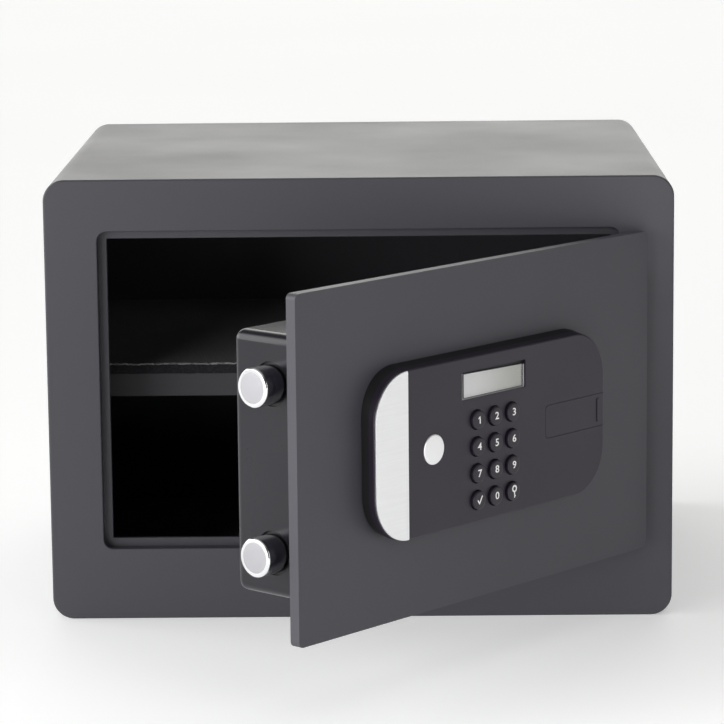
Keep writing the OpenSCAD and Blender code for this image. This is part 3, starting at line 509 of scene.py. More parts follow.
class Blank:
    """A mesh in the making. Each method works with Blender's own mesh operators."""

    def __init__(self) -> None:
        """Starts with an empty mesh."""
        self.bm = bmesh.new()

    @classmethod
    def slab(cls, x: Span, z: Span, y: Span, radius: float = 0.0, segments: int = 8) -> "Blank":
        """Makes an upright plate with round corners.

        Args:
            x: Its left and right.
            z: Its bottom and top.
            y: Its front and back.
            radius: Radius of its corners.
            segments: Facets in each corner.

        Returns:
            The closed plate.
        """
        made = cls()
        made.outline(x, z, y[0], radius, segments)
        return made.pulled((0.0, y[1] - y[0], 0.0))

    @classmethod
    def ring(cls, outer: Outline, inner: Outline, y: Span, segments: int = 8) -> "Blank":
        """Makes an upright frame between two round-cornered outlines.

        Args:
            outer: x, z and corner radius of the outer outline.
            inner: The same of the inner one.
            y: Its front and back.
            segments: Facets in each corner.

        Returns:
            The closed frame.
        """
        made = cls()
        for x, z, radius in (outer, inner):
            made.outline(x, z, y[0], radius, segments)
        bmesh.ops.delete(made.bm, geom=made.bm.faces[:], context="FACES_ONLY")
        bmesh.ops.bridge_loops(made.bm, edges=made.bm.edges[:])
        return made.pulled((0.0, y[1] - y[0], 0.0))

    @classmethod
    def turned(cls, axis: Axis, centre: Span, profile: Sequence[Span], steps: int = 48) -> "Blank":
        """Turns a profile on a lathe.

        Args:
            axis: The axis that it turns about.
            centre: The axis's place, in the two other directions.
            profile: Points of the profile, as place along the axis and radius.
            steps: Facets round the axis.

        Returns:
            The turned piece, closed where the profile starts and ends on the axis.
        """

        def point(along: float, radius: float) -> Triple:
            """Gives a point of the profile in space."""
            first, second = centre[0] + radius, centre[1]
            return {
                Axis.X: (along, first, second),
                Axis.Y: (first, along, second),
                Axis.Z: (first, second, along),
            }[axis]

        made = cls()
        verts = [made.bm.verts.new(point(*p)) for p in profile]
        edges = [made.bm.edges.new(pair) for pair in zip(verts, verts[1:])]
        direction = [float(number == axis.value) for number in range(3)]
        bmesh.ops.spin(
            made.bm,
            geom=verts + edges,
            cent=point(0.0, 0.0),
            axis=direction,
            dvec=(0.0, 0.0, 0.0),
            angle=math.tau,
            steps=steps,
            use_merge=True,
            use_duplicate=False,
        )
        return made.closed()

    @classmethod
    def folded(
        cls, path: Sequence[Span], x: Span, thick: float, bend: float, segments: int = 5
    ) -> "Blank":
        """Folds a sheet along lines that run from left to right.

        Args:
            path: The sheet's outer side, as y and z of its edges and folds.
            x: Its left and right.
            thick: Its thickness.
            bend: Outer radius of its folds.
            segments: Facets in each fold.

        Returns:
            The folded sheet.
        """
        made = cls()
        verts = [made.bm.verts.new((x[0], y, z)) for y, z in path]
        edges = [made.bm.edges.new(pair) for pair in zip(verts, verts[1:])]
        grown = bmesh.ops.extrude_edge_only(made.bm, edges=edges)
        made.shift(grown, (x[1] - x[0], 0.0, 0.0))
        bmesh.ops.recalc_face_normals(made.bm, faces=made.bm.faces[:])
        folds = [e for e in made.bm.edges if len(e.link_faces) == 2]
        made.round_off(folds, bend, segments, Rounding.EDGES)
        bmesh.ops.solidify(made.bm, geom=made.bm.faces[:], thickness=thick)
        return made.closed()

    @classmethod
    def of_object(cls, obj: bpy.types.Object) -> "Blank":
        """Takes the finished mesh of a scratch object, and removes the object.

        Args:
            obj: The object, with its modifiers, in the scene.

        Returns:
            Its mesh.
        """
        graph = bpy.context.evaluated_depsgraph_get()
        mesh = bpy.data.meshes.new_from_object(obj.evaluated_get(graph))
        made = cls()
        made.bm.from_mesh(mesh)
        bpy.data.objects.remove(obj)
        bpy.data.meshes.remove(mesh)
        return made

    def outline(self, x: Span, z: Span, y: float, radius: float, segments: int) -> None:
        """Adds a flat round-cornered face.

        Args:
            x: Its left and right.
            z: Its bottom and top.
            y: Its depth.
            radius: Radius of its corners.
            segments: Facets in each corner.
        """
        corners = ((x[0], z[0]), (x[1], z[0]), (x[1], z[1]), (x[0], z[1]))
        verts = [self.bm.verts.new((a, y, b)) for a, b in corners]
        self.bm.faces.new(verts)
        if radius:
            self.round_off(verts, radius, segments, Rounding.POINTS)

    def pulled(self, step: Triple) -> "Blank":
        """Pulls the flat faces out to a solid, and returns it."""
        self.shift(bmesh.ops.extrude_face_region(self.bm, geom=self.bm.faces[:]), step)
        return self.closed()

    def shift(self, grown: dict, step: Triple) -> None:
        """Moves the points that an extrusion added."""
        verts = [v for v in grown["geom"] if isinstance(v, bmesh.types.BMVert)]
        bmesh.ops.translate(self.bm, vec=step, verts=verts)

    def closed(self) -> "Blank":
        """Merges doubled corners, turns the faces outwards, and returns the blank."""
        bmesh.ops.remove_doubles(self.bm, verts=self.bm.verts[:], dist=MERGE)
        bmesh.ops.recalc_face_normals(self.bm, faces=self.bm.faces[:])
        return self

    def round_off(self, geom: Sequence, width: float, segments: int, kind: Rounding) -> None:
        """Rounds corners off.

        Args:
            geom: The points or the edges.
            width: Width of the rounding.
            segments: Facets across it.
            kind: What the geometry is.
        """
        bmesh.ops.bevel(
            self.bm,
            geom=list(geom),
            offset=width,
            offset_type="OFFSET",
            segments=segments,
            profile=0.5,
            affect=kind.value,
            clamp_overlap=kind is Rounding.EDGES,
            material=-1,
        )

    def softened(
        self,
        width: float,
        segments: int = 3,
        where: Optional[Test] = None,
        sharp: float = 35.0,
    ) -> "Blank":
        """Rounds the sharp edges.

        Args:
            width: Width of the rounding.
            segments: Facets across it.
            where: Says of an edge's middle whether the edge is rounded. Without it, all are.
            sharp: The least angle between two faces that counts as sharp, in degrees.

        Returns:
            The blank.
        """
        limit = math.radians(sharp)
        edges = [
            e
            for e in self.bm.edges
            if len(e.link_faces) == 2
            and e.calc_face_angle(0.0) > limit
            and (where is None or where((e.verts[0].co + e.verts[1].co) / 2))
        ]
        self.round_off(edges, width, segments, Rounding.EDGES)
        return self

    def sliced(self, axis: Axis, places: Span, step: float) -> "Blank":
        """Divides the faces by evenly spaced planes.

        Args:
            axis: The direction across the planes.
            places: Where the first plane lies, and what they stop short of.
            step: The distance between planes.

        Returns:
            The blank.
        """
        at, end = places
        normal = [float(number == axis.value) for number in range(3)]
        while at < end:
            point = [at * part for part in normal]
            geom = self.bm.verts[:] + self.bm.edges[:] + self.bm.faces[:]
            bmesh.ops.bisect_plane(self.bm, geom=geom, plane_co=point, plane_no=normal)
            at += step
        return self

    def cut(self, *tools: "Blank") -> "Blank":
        """Cuts the tools out of the blank.

        Args:
            tools: Closed blanks that don't touch each other.

        Returns:
            The blank.
        """
        return self.combined(Meeting.CUT, Blank().join(*tools))

    def combined(self, meeting: Meeting, tool: "Blank") -> "Blank":
        """Runs a Boolean modifier with the tool, and returns the blank."""
        other, target = shown("tool", tool.mesh("tool")), shown("blank", self.mesh("blank"))
        modifier = target.modifiers.new("cut", "BOOLEAN")
        modifier.operation, modifier.solver, modifier.object = meeting.value, "EXACT", other
        self.bm = Blank.of_object(target).bm
        bpy.data.objects.remove(other)
        bmesh.ops.remove_doubles(self.bm, verts=self.bm.verts[:], dist=MERGE)
        return self

    def mesh(self, name: str) -> bpy.types.Mesh:
        """Gives the blank as a mesh of that name."""
        mesh = bpy.data.meshes.new(name)
        self.bm.to_mesh(mesh)
        return mesh

    def join(self, *others: "Blank") -> "Blank":
        """Adds other blanks to this one, and returns it."""
        for other in others:
            mesh = other.mesh("joined")
            self.bm.from_mesh(mesh)
            bpy.data.meshes.remove(mesh)
        return self

    def tinted(self, number: int, where: Optional[Test] = None) -> "Blank":
        """Gives faces the finish of that number, and returns the blank."""
        for face in self.bm.faces:
            if where is None or where(face.calc_center_median()):
                face.material_index = number
        return self

    def moved(self, matrix: Matrix) -> "Blank":
        """Moves the blank by a matrix, and returns it."""
        bmesh.ops.transform(self.bm, matrix=matrix, verts=self.bm.verts[:])
        return self


def box(x: Span, y: Span, z: Span) -> Blank:
    """Makes a plain block between two corners."""
    return Blank.slab(x, z, y)


def rod(axis: Axis, centre: Span, ends: Span, radius: float, steps: int = 48) -> Blank:
    """Makes a plain round bar between two ends."""
    low, high = ends
    profile = [(low, 0.0), (low, radius), (high, radius), (high, 0.0)]
    return Blank.turned(axis, centre, profile, steps)


def around(centre: float, half: float) -> Span:
    """Gives both ends of a length by its middle and its half."""
    return centre - half, centre + half


def within(span: Span, inset: float) -> Span:
    """Gives a span with both ends drawn in."""
    return span[0] + inset, span[1] - inset


def drills(axis: Axis, across: float, ends: Span, radius: float) -> list[Blank]:
    """Makes the tools that drill both anchor holes of a sheet."""
    return [rod(axis, (x, across), ends, radius) for x in ANCHOR_XS]


class Bench:
    """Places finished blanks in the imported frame."""

    def __init__(self, frame: dict, depth: float = 300.0) -> None:
        """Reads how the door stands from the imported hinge.

        Args:
            depth: The cabinet's depth.
        """
        self.frame = frame
        hinge = next(joint for joint in frame["joints"] if joint["name"] == "door_hinge")
        pin = Matrix.Translation(hinge["pos_m"])
        swing = Matrix.Rotation(-math.radians(hinge["range_deg"][0]), 4, "Z")
        self.opened = pin @ swing @ pin.inverted()
        shift = Matrix.Translation((0.0, -depth / 2 * MM, 0.0))
        self.drawing = shift @ Matrix.Scale(MM, 4)
        self.shut = shift.inverted() @ self.opened.inverted()

    def place(
        self,
        name: str,
        blank: Blank,
        finishes: Union[Finish, Sequence[Finish]],
        body: str,
        node: str,
        sharp: float = 38.0,
    ) -> bpy.types.Object:
        """Turns a blank into a piece of the safe.

        Args:
            name: The piece's name.
            blank: Its mesh, in the drawing's frame.
            finishes: Its finish, or one for each number that its faces have.
            body: The CAD body that it rides on.
            node: The CAD node that it stands for, which it hides.
            sharp: Edges steeper than this stay sharp, in degrees.

        Returns:
            The piece.
        """
        finishes = [finishes] if isinstance(finishes, Finish) else list(finishes)
        fixed = body == "cabinet"
        blank.moved(self.drawing if fixed else self.opened @ self.drawing)
        mesh = blank.mesh(name)
        blank.bm.free()
        mesh.polygons.foreach_set("use_smooth", [True] * len(mesh.polygons))
        mesh.set_sharp_from_angle(angle=math.radians(sharp))
        for finish in finishes:
            mesh.materials.append(finish.material(None if fixed else self.shut))
        piece = shown(name, mesh)
        normals = piece.modifiers.new("even_shading", "WEIGHTED_NORMAL")
        normals.keep_sharp = True
        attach(piece, body)
        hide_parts(node)
        LOG.info("%s: %d faces on %s", name, len(mesh.polygons), body)
        return piece

    def paint(self, finish: Finish, *nodes: str) -> None:
        """Gives CAD nodes that stay a finish.

        Args:
            finish: The finish.
            nodes: The nodes' names.
        """
        for name in nodes:
            node = self.frame["nodes"][name]
            turn = None if node["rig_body"] == "cabinet" else self.shut
            node.data.materials.clear()
            node.data.materials.append(finish.material(turn))
            LOG.info("%s: %s", name, finish.name)


@dataclass
class Cabinet:
    """The folded body, its front frame and the door's stop."""

    side: float = 175.0
    height: float = 250.0
    depth: float = 300.0
    corner: float = 12.0
    sheet: float = 3.0
    front: float = 4.0
    open_x: float = 145.3
    open_z: Span = (40.5, 221.0)
    open_corner: float = 5.5
    rebate: float = 7.0
    stop: float = 3.0
    lip: float = 4.8
    lip_corner: float = 0.6
    anchor: float = 6.0
    anchor_z: float = 190.0
    outer_edge: float = 1.1
    inner_edge: float = 0.7
    sheet_edge: float = 0.6
    flange_edge: float = 0.5
    strike: tuple = ((-158.1, -141.5), (10.0, 14.4), (47.5, 214.0))
    facets: int = 12

    def body(self, inset: float) -> Outline:
        """Gives the body's outline, drawn in by an inset."""
        side, top = self.side - inset, self.height - inset
        return (-side, side), (inset, top), self.corner - inset

    def opening(self, grow: float) -> Outline:
        """Gives the opening's outline, grown all round."""
        bottom, top = self.open_z
        side = self.open_x + grow
        return (-side, side), (bottom - grow, top + grow), self.open_corner + grow

    def shell(self) -> Blank:
        """Makes the sheet of top, sides and base, with its anchor holes."""
        ends = (self.front, self.depth)
        shell = Blank.ring(self.body(0.0), self.body(self.sheet), ends, self.facets)
        ends = (-PAST, self.sheet + PAST)
        shell.cut(*drills(Axis.Z, self.depth / 2, ends, self.anchor))
        return shell.softened(self.sheet_edge, 3, lambda at: at.y > self.front + 1.0)

    def front_panel(self) -> Blank:
        """Makes the thick front frame, with its outer and inner front edges rounded."""
        panel = Blank.ring(self.body(0.0), self.opening(0.0), (0.0, self.front), self.facets)
        (_, side), (low, high), _ = self.opening(2.0)

        def inner(at: Vector) -> bool:
            """Says whether an edge lies round the opening."""
            return abs(at.x) < side and low < at.z < high

        panel.softened(self.inner_edge, 4, lambda at: at.y < NEAR and inner(at))
        return panel.softened(self.outer_edge, 5, lambda at: at.y < NEAR and not inner(at))

    def stop_flange(self) -> Blank:
        """Makes the rebate wall and the flange that the door's box passes through."""
        back = self.rebate + self.stop
        wall = Blank.ring(self.opening(self.stop), self.opening(0.0), (self.front, back))
        clear = self.open_x - self.lip
        low, high = self.open_z[0] + self.lip, self.open_z[1] - self.lip
        inner = (-clear, clear), (low, high), self.lip_corner
        flange = Blank.ring(self.opening(self.stop / 2), inner, (self.rebate, back))
        near = clear + 0.1
        flange.softened(self.flange_edge, 3, lambda at: abs(at.x) < near and at.z < high + 0.1)
        return wall.join(flange)

    def back(self) -> Blank:
        """Makes the back sheet with its anchor holes."""
        x, z, radius = self.body(self.sheet)
        front = self.depth - self.sheet
        back = Blank.slab(x, z, (front, self.depth), radius, self.facets)
        ends = (front - PAST, self.depth + PAST)
        back.cut(*drills(Axis.Y, self.anchor_z, ends, self.anchor))
        return back.softened(self.flange_edge, 3, lambda at: at.y > self.depth - NEAR)

    def build(self, bench: Bench) -> None:
        """Places the cabinet's pieces."""
        bench.place("cabinet_shell", self.shell(), POWDER, "cabinet", "cabinet_wrap")
        bench.place("front_panel", self.front_panel(), POWDER, "cabinet", "front_frame")
        bench.place("stop_flange", self.stop_flange(), POWDER, "cabinet", "door_stop")
        bench.place("back_sheet", self.back(), POWDER, "cabinet", "back_plate")
        strike = box(*self.strike).softened(self.sheet_edge)
        bench.place("strike_bar", strike, POWDER_SHADED, "cabinet", "bolt_strike")
        bench.paint(POWDER_SHADED, "hinge_brackets", "shelf_brackets")
        bench.paint(STEEL, "hinge_pins")


@dataclass
class Interior:
    """The shelf and the two felts."""

    half: float = 171.0
    front: float = 60.0
    back: float = 296.0
    top: float = 134.4
    lip: float = 17.5
    sheet: float = 1.5
    bend: float = 2.2
    edge: float = 0.35
    margin: float = 1.0
    felt: float = 2.0
    felt_bend: float = 1.6
    fold: float = 4.0
    floor_half: float = 160.0
    floor_y: Span = (12.0, 296.0)
    floor_z: float = 3.0
    floor_edge: float = 0.6
    hole: float = 8.0
    hole_y: float = 150.0
    mesh_x: float = 4.0
    mesh_y: float = 6.0
    tuft: float = 3.0
    nap: float = 0.35
    fray_y: Span = (0.1, 0.9)
    fray_z: Span = (-0.8, 0.05)
    fray_step: float = 0.7
    fray: float = 0.65
    fray_tufts: Span = (1.3, 9.0)

    def shelf(self) -> Blank:
        """Makes the shelf with its two folded lips."""
        path = [
            (self.front, self.top - self.lip),
            (self.front, self.top),
            (self.back, self.top),
            (self.back, self.top - self.lip / 2),
        ]
        shelf = Blank.folded(path, (-self.half, self.half), self.sheet, self.bend)
        return shelf.softened(self.edge, 2, sharp=60.0)

    def shelf_felt(self) -> Blank:
        """Makes the shelf's felt, wrapped over the front edge, with a ragged fold."""
        half = self.half - self.margin
        front, top = self.front - self.felt, self.top + self.felt
        path = [(front, self.top - self.fold), (front, top), (self.back - self.margin, top)]
        felt = Blank.folded(path, (-half, half), self.felt, self.felt_bend, 4)
        return self.combed(felt).join(self.fringe(half))

    def fringe(self, half: float) -> Blank:
        """Makes the ragged line along the fold of the shelf's felt, pale as a painted highlight."""
        front, top = self.front - self.felt, self.top + self.felt
        y = (front + self.fray_y[0], front + self.fray_y[1])
        line = box((-half, half), y, (top + self.fray_z[0], top + self.fray_z[1]))
        line.sliced(Axis.X, (-half + self.fray_step, half), self.fray_step)
        small, large = self.fray_tufts
        for vert in line.bm.verts:
            tuft = noise.noise(vert.co / small) + 0.6 * noise.noise(vert.co / large)
            vert.co.z += self.fray * tuft * (1.0 if vert.co.z > top else 0.7)
        # The line takes the pale finish: a painted highlight along the fold
        return line.tinted(1)

    def combed(self, felt: Blank) -> Blank:
        """Divides a felt finely and roughens it, as its fibres do."""
        half = self.half - self.margin
        felt.sliced(Axis.X, (-half + self.mesh_x, half), self.mesh_x)
        felt.sliced(Axis.Y, (self.floor_y[0] + self.mesh_y, self.floor_y[1]), self.mesh_y)
        felt.bm.normal_update()
        for vert in felt.bm.verts:
            vert.co += vert.normal * self.nap * noise.noise(vert.co / self.tuft)
        return felt

    def floor_felt(self) -> Blank:
        """Makes the floor's felt, with holes over the anchors."""
        felt = Blank.slab((-self.floor_half, self.floor_half), (0.0, 1.0), self.floor_y)
        rise = Matrix.Translation((0.0, 0.0, self.floor_z))
        felt.moved(rise @ Matrix.Diagonal((1.0, 1.0, self.felt, 1.0)))
        top = self.floor_z + self.felt
        ends = (self.floor_z - PAST, top + PAST)
        felt.cut(*drills(Axis.Z, self.hole_y, ends, self.hole))
        felt.softened(self.floor_edge, 3, lambda at: at.z > top - 0.1)
        return self.combed(felt)

    def build(self, bench: Bench) -> None:
        bench.place("folded_shelf", self.shelf(), POWDER_SHADED, "cabinet", "shelf")
        lining = bench.place(
            "shelf_lining", self.shelf_felt(), [FELT, FELT_HIGHLIGHT], "cabinet", "shelf_felt", 80.0
        )
        mat = bench.place("floor_lining", self.floor_felt(), FELT, "cabinet", "floor_felt", 80.0)


@dataclass
class Door:
    """The door plate and the box behind it."""

    side: float = 143.5
    z: Span = (41.5, 220.0)
    thick: float = 6.0
    corner: float = 3.0
    edge: float = 0.8
    pin: Span = (161.0, 13.5)
    relief: float = 21.09
    fixing_xs: Span = (-77.9, 77.4)
    fixing_z: float = 114.5
    fixing: float = 2.7
    box_x: Span = (-135.0, 110.0)
    box_z: Span = (62.15, 196.95)
    box_y: Span = (6.0, 51.4)
    box_r: float = 5.5
    box_sheet: float = 2.0
    box_edge: float = 0.35
    bolt_hole: float = 11.5
    bay_x: Span = (-6.5, 102.5)
    bay_z: Span = (72.85, 103.15)
    button_hole: float = 4.2
    screws: tuple = ((-85.2, 187.95), (101.0, 187.95), (-85.2, 71.15), (-22.0, 71.15))
    screw_sink: tuple = ((-3.0, 0.0), (-3.0, 1.7), (-1.5, 1.7), (0.2, 3.4), (0.2, 0.0))

    def plate(self) -> Blank:
        """Makes the plate, with the hollow of its hinge edge and the holes behind the keypad."""
        ends = (0.0, self.thick)
        plate = Blank.slab((-self.side, self.side), self.z, ends, self.corner, 6)
        hollow = rod(Axis.Z, self.pin, within(self.z, -2 * PAST), self.relief, 180)
        drilled = [(LOCK_AT, LOCK_HOLE), (CABLE_AT, CABLE_HOLE)]
        drilled += [((x, self.fixing_z), self.fixing) for x in self.fixing_xs]
        ends = (-PAST, self.thick + PAST)
        plate.cut(hollow, *(rod(Axis.Y, at, ends, radius) for at, radius in drilled))
        side, (low, high) = self.side - self.corner, within(self.z, 0.5)
        return plate.softened(self.edge, 4, lambda at: abs(at.x) > side or not low < at.z < high)

    def hollow(self, inset: float, y: Span) -> Blank:
        """Makes a block with the box's round back edges, drawn in by an inset."""
        radius = self.box_r - inset
        block = Blank.slab(within(self.box_x, inset), within(self.box_z, inset), y, radius, 6)
        return block.softened(radius, 6, lambda at: at.y > y[1] - NEAR)

    def case(self) -> Blank:
        """Makes the folded box, open towards the plate, with its holes."""
        left, (front, back) = self.box_x[0], self.box_y
        case = self.hollow(0.0, self.box_y)
        case.cut(self.hollow(self.box_sheet, (front - PAST, back - self.box_sheet)))
        tools = [
            rod(Axis.X, (BOLT_Y, z), (left - PAST, left + 5), self.bolt_hole, 64)
            for z in BOLT_ZS
        ]
        ends = (back - self.box_sheet - PAST, back + PAST)
        tools.append(box(self.bay_x, ends, self.bay_z))
        tools.append(rod(Axis.Y, RESET_AT, ends, self.button_hole))
        sink = [(back + along, radius) for along, radius in self.screw_sink]
        tools += [Blank.turned(Axis.Y, at, sink) for at in self.screws]
        case.cut(*tools)
        return case.softened(
            self.box_edge, 2, lambda at: at.x < left + NEAR or at.y > back - NEAR, 50.0
        )

    def build(self, bench: Bench) -> None:
        """Places the plate and the box, and finishes what they carry."""
        bench.place("door_panel", self.plate(), POWDER, "door", "door_plate")
        bench.place("lock_case", self.case(), ENAMEL, "door", "lock_box")
        bench.paint(POWDER_SHADED, "hinge_arms")
        bench.paint(ZINC, "box_posts", "box_screws", "motor_bracket", "motor_screws")
        bench.paint(ZINC, "board_posts", "lock_cam", "bolt_nuts", "bolt_bar", "keypad_screws")
        bench.paint(ACETAL, "guide_bushes")
        bench.paint(STEEL, "gear_motor")
        bench.paint(BRASS, "drive_pinion")
        bench.paint(BOARD, "control_board", "key_board")
        bench.paint(RIBBON, "keypad_cable")
        bench.paint(SILICONE, "key_mat")
        bench.paint(ENAMEL, "lid_rails")


@dataclass
class Boltwork:
    """The two locking bolts."""

    tip: float = -148.9
    shoulder: float = -114.2
    end: float = -103.2
    radius: float = 10.0
    ring: float = 0.6
    matt: float = 7.9
    stud: float = 4.0

    def bolt(self, z: float) -> Blank:
        """Makes one bolt: matt face, polished ring, plain shank and stud."""
        tip, ring, radius, matt, end = self.tip, self.ring, self.radius, self.matt, self.end
        face = radius - ring
        profile = [(tip, 0.0), (tip, matt), (tip + 0.1, matt + 0.25)]
        profile += [(tip + 0.1, face - 0.1), (tip + 0.16, face + 0.1)]
        profile += [(tip + ring, radius - 0.1), (tip + ring + 0.2, radius - 0.02)]
        profile += [(tip + ring + 0.5, radius), (self.shoulder - 0.4, radius)]
        profile += [(self.shoulder, radius - 0.4), (self.shoulder, self.stud)]
        profile += [(end - 0.5, self.stud), (end, self.stud - 0.5), (end, 0.0)]
        bolt = Blank.turned(Axis.X, (BOLT_Y, z), profile, 72)
        bolt.tinted(1, lambda at: at.x < tip + ring)

        def middle(at: Vector) -> bool:
            """Says whether a face lies in the matt middle."""
            return math.hypot(at.y - BOLT_Y, at.z - z) < matt - NEAR and at.x < tip + NEAR

        return bolt.tinted(2, middle)

    def build(self, bench: Bench) -> None:
        """Places the bolts as one piece."""
        bolts = Blank().join(*(self.bolt(z) for z in BOLT_ZS))
        finishes = [CHROME, POLISHED, FACED]
        bench.place("round_bolts", bolts, finishes, "boltwork", "lock_bolts", 30.0)


@dataclass(frozen=True)
class Display:
    """The display in the housing: its clear window, its glass and the frame round it."""

    x: Span = (-28.5, 23.5)
    z: Span = (151.2, 166.0)
    middle: float = 158.0
    back: float = -8.0
    feet: float = -1.5
    feet_xs: Span = (-25.5, 20.5)
    foot: float = 2.5
    module: float = 3.0
    rim: float = 1.1
    rim_top: float = 2.6
    bezel: float = 0.7
    window_left: float = 2.3
    window_top: float = 1.2
    window_y: Span = (-9.0, -8.2)
    window_shade_band: float = 0.2
    glass_left: float = 1.0
    glass_right: float = 1.95

    def window(self) -> Blank:
        """Makes the clear window, with edges blackened as painted shade, and a lower right half."""
        left, right = self.x[0] + self.window_left, self.x[1] - self.bezel
        low, high = self.z[0] + self.bezel, self.z[1] - self.window_top
        edge = self.window_shade_band
        pane = Blank.slab((left, right), (low, high), self.window_y, 0.3, 4).softened(0.15, 2)

        def rim(at: Vector) -> bool:
            """Says whether a face lies on the pane's edge."""
            inside = left + edge < at.x < right - edge and low + edge < at.z < high - edge
            return not inside

        # The pane's edge faces take the black finish: painted shade along the window's edges
        pane.tinted(1, rim)
        for vert in pane.bm.verts:
            if vert.co.x > 0.0 and vert.co.z > self.middle:
                vert.co.z -= 1.0
        return pane

    def glass(self) -> Blank:
        """Makes the glass, which narrows towards its right end."""
        x = (self.x[0] + self.glass_left, self.x[1] - self.glass_right)
        z = (self.z[0] - 0.2, self.z[1] - self.window_top)
        glass = Blank.slab(x, z, around(self.back, 0.1), 0.3, 3).tinted(0)
        for vert in glass.bm.verts:
            if vert.co.x > 0.0:
                vert.co.z += 0.8 if vert.co.z < self.middle else -1.3
        return glass

    def unit(self) -> Blank:
        """Makes the display: its glass, the frame round it, and the feet that hold it."""
        (left, right), (low, high), back = self.x, self.z, self.back
        y = (back + 0.05, back + self.module)
        module = Blank.slab((left - 2.0, right + 2.0), (low - 2.0, high + 0.8), y, 0.8, 4)
        module.softened(0.2, 2).tinted(2)
        ends = (back + self.module, self.feet)
        feet = [rod(Axis.Y, (at, self.middle), ends, self.foot) for at in self.feet_xs]
        top = high - self.rim_top
        ledge = box((right - 1.9, right - 0.6), around(back, 0.1), (low + 0.2, top)).tinted(3)
        y = (back - self.rim, back + 0.1)
        rim = box((right - 0.75, right - 0.1), y, (low + 0.1, top))
        sill = box((left + 0.6, right - 0.8), y, (low + 0.1, low + 0.45))
        parts = [part.softened(0.1, 2).tinted(1) for part in (rim, sill)]
        parts += [foot.softened(0.3, 2).tinted(2) for foot in feet]
        return self.glass().join(module, ledge, *parts)


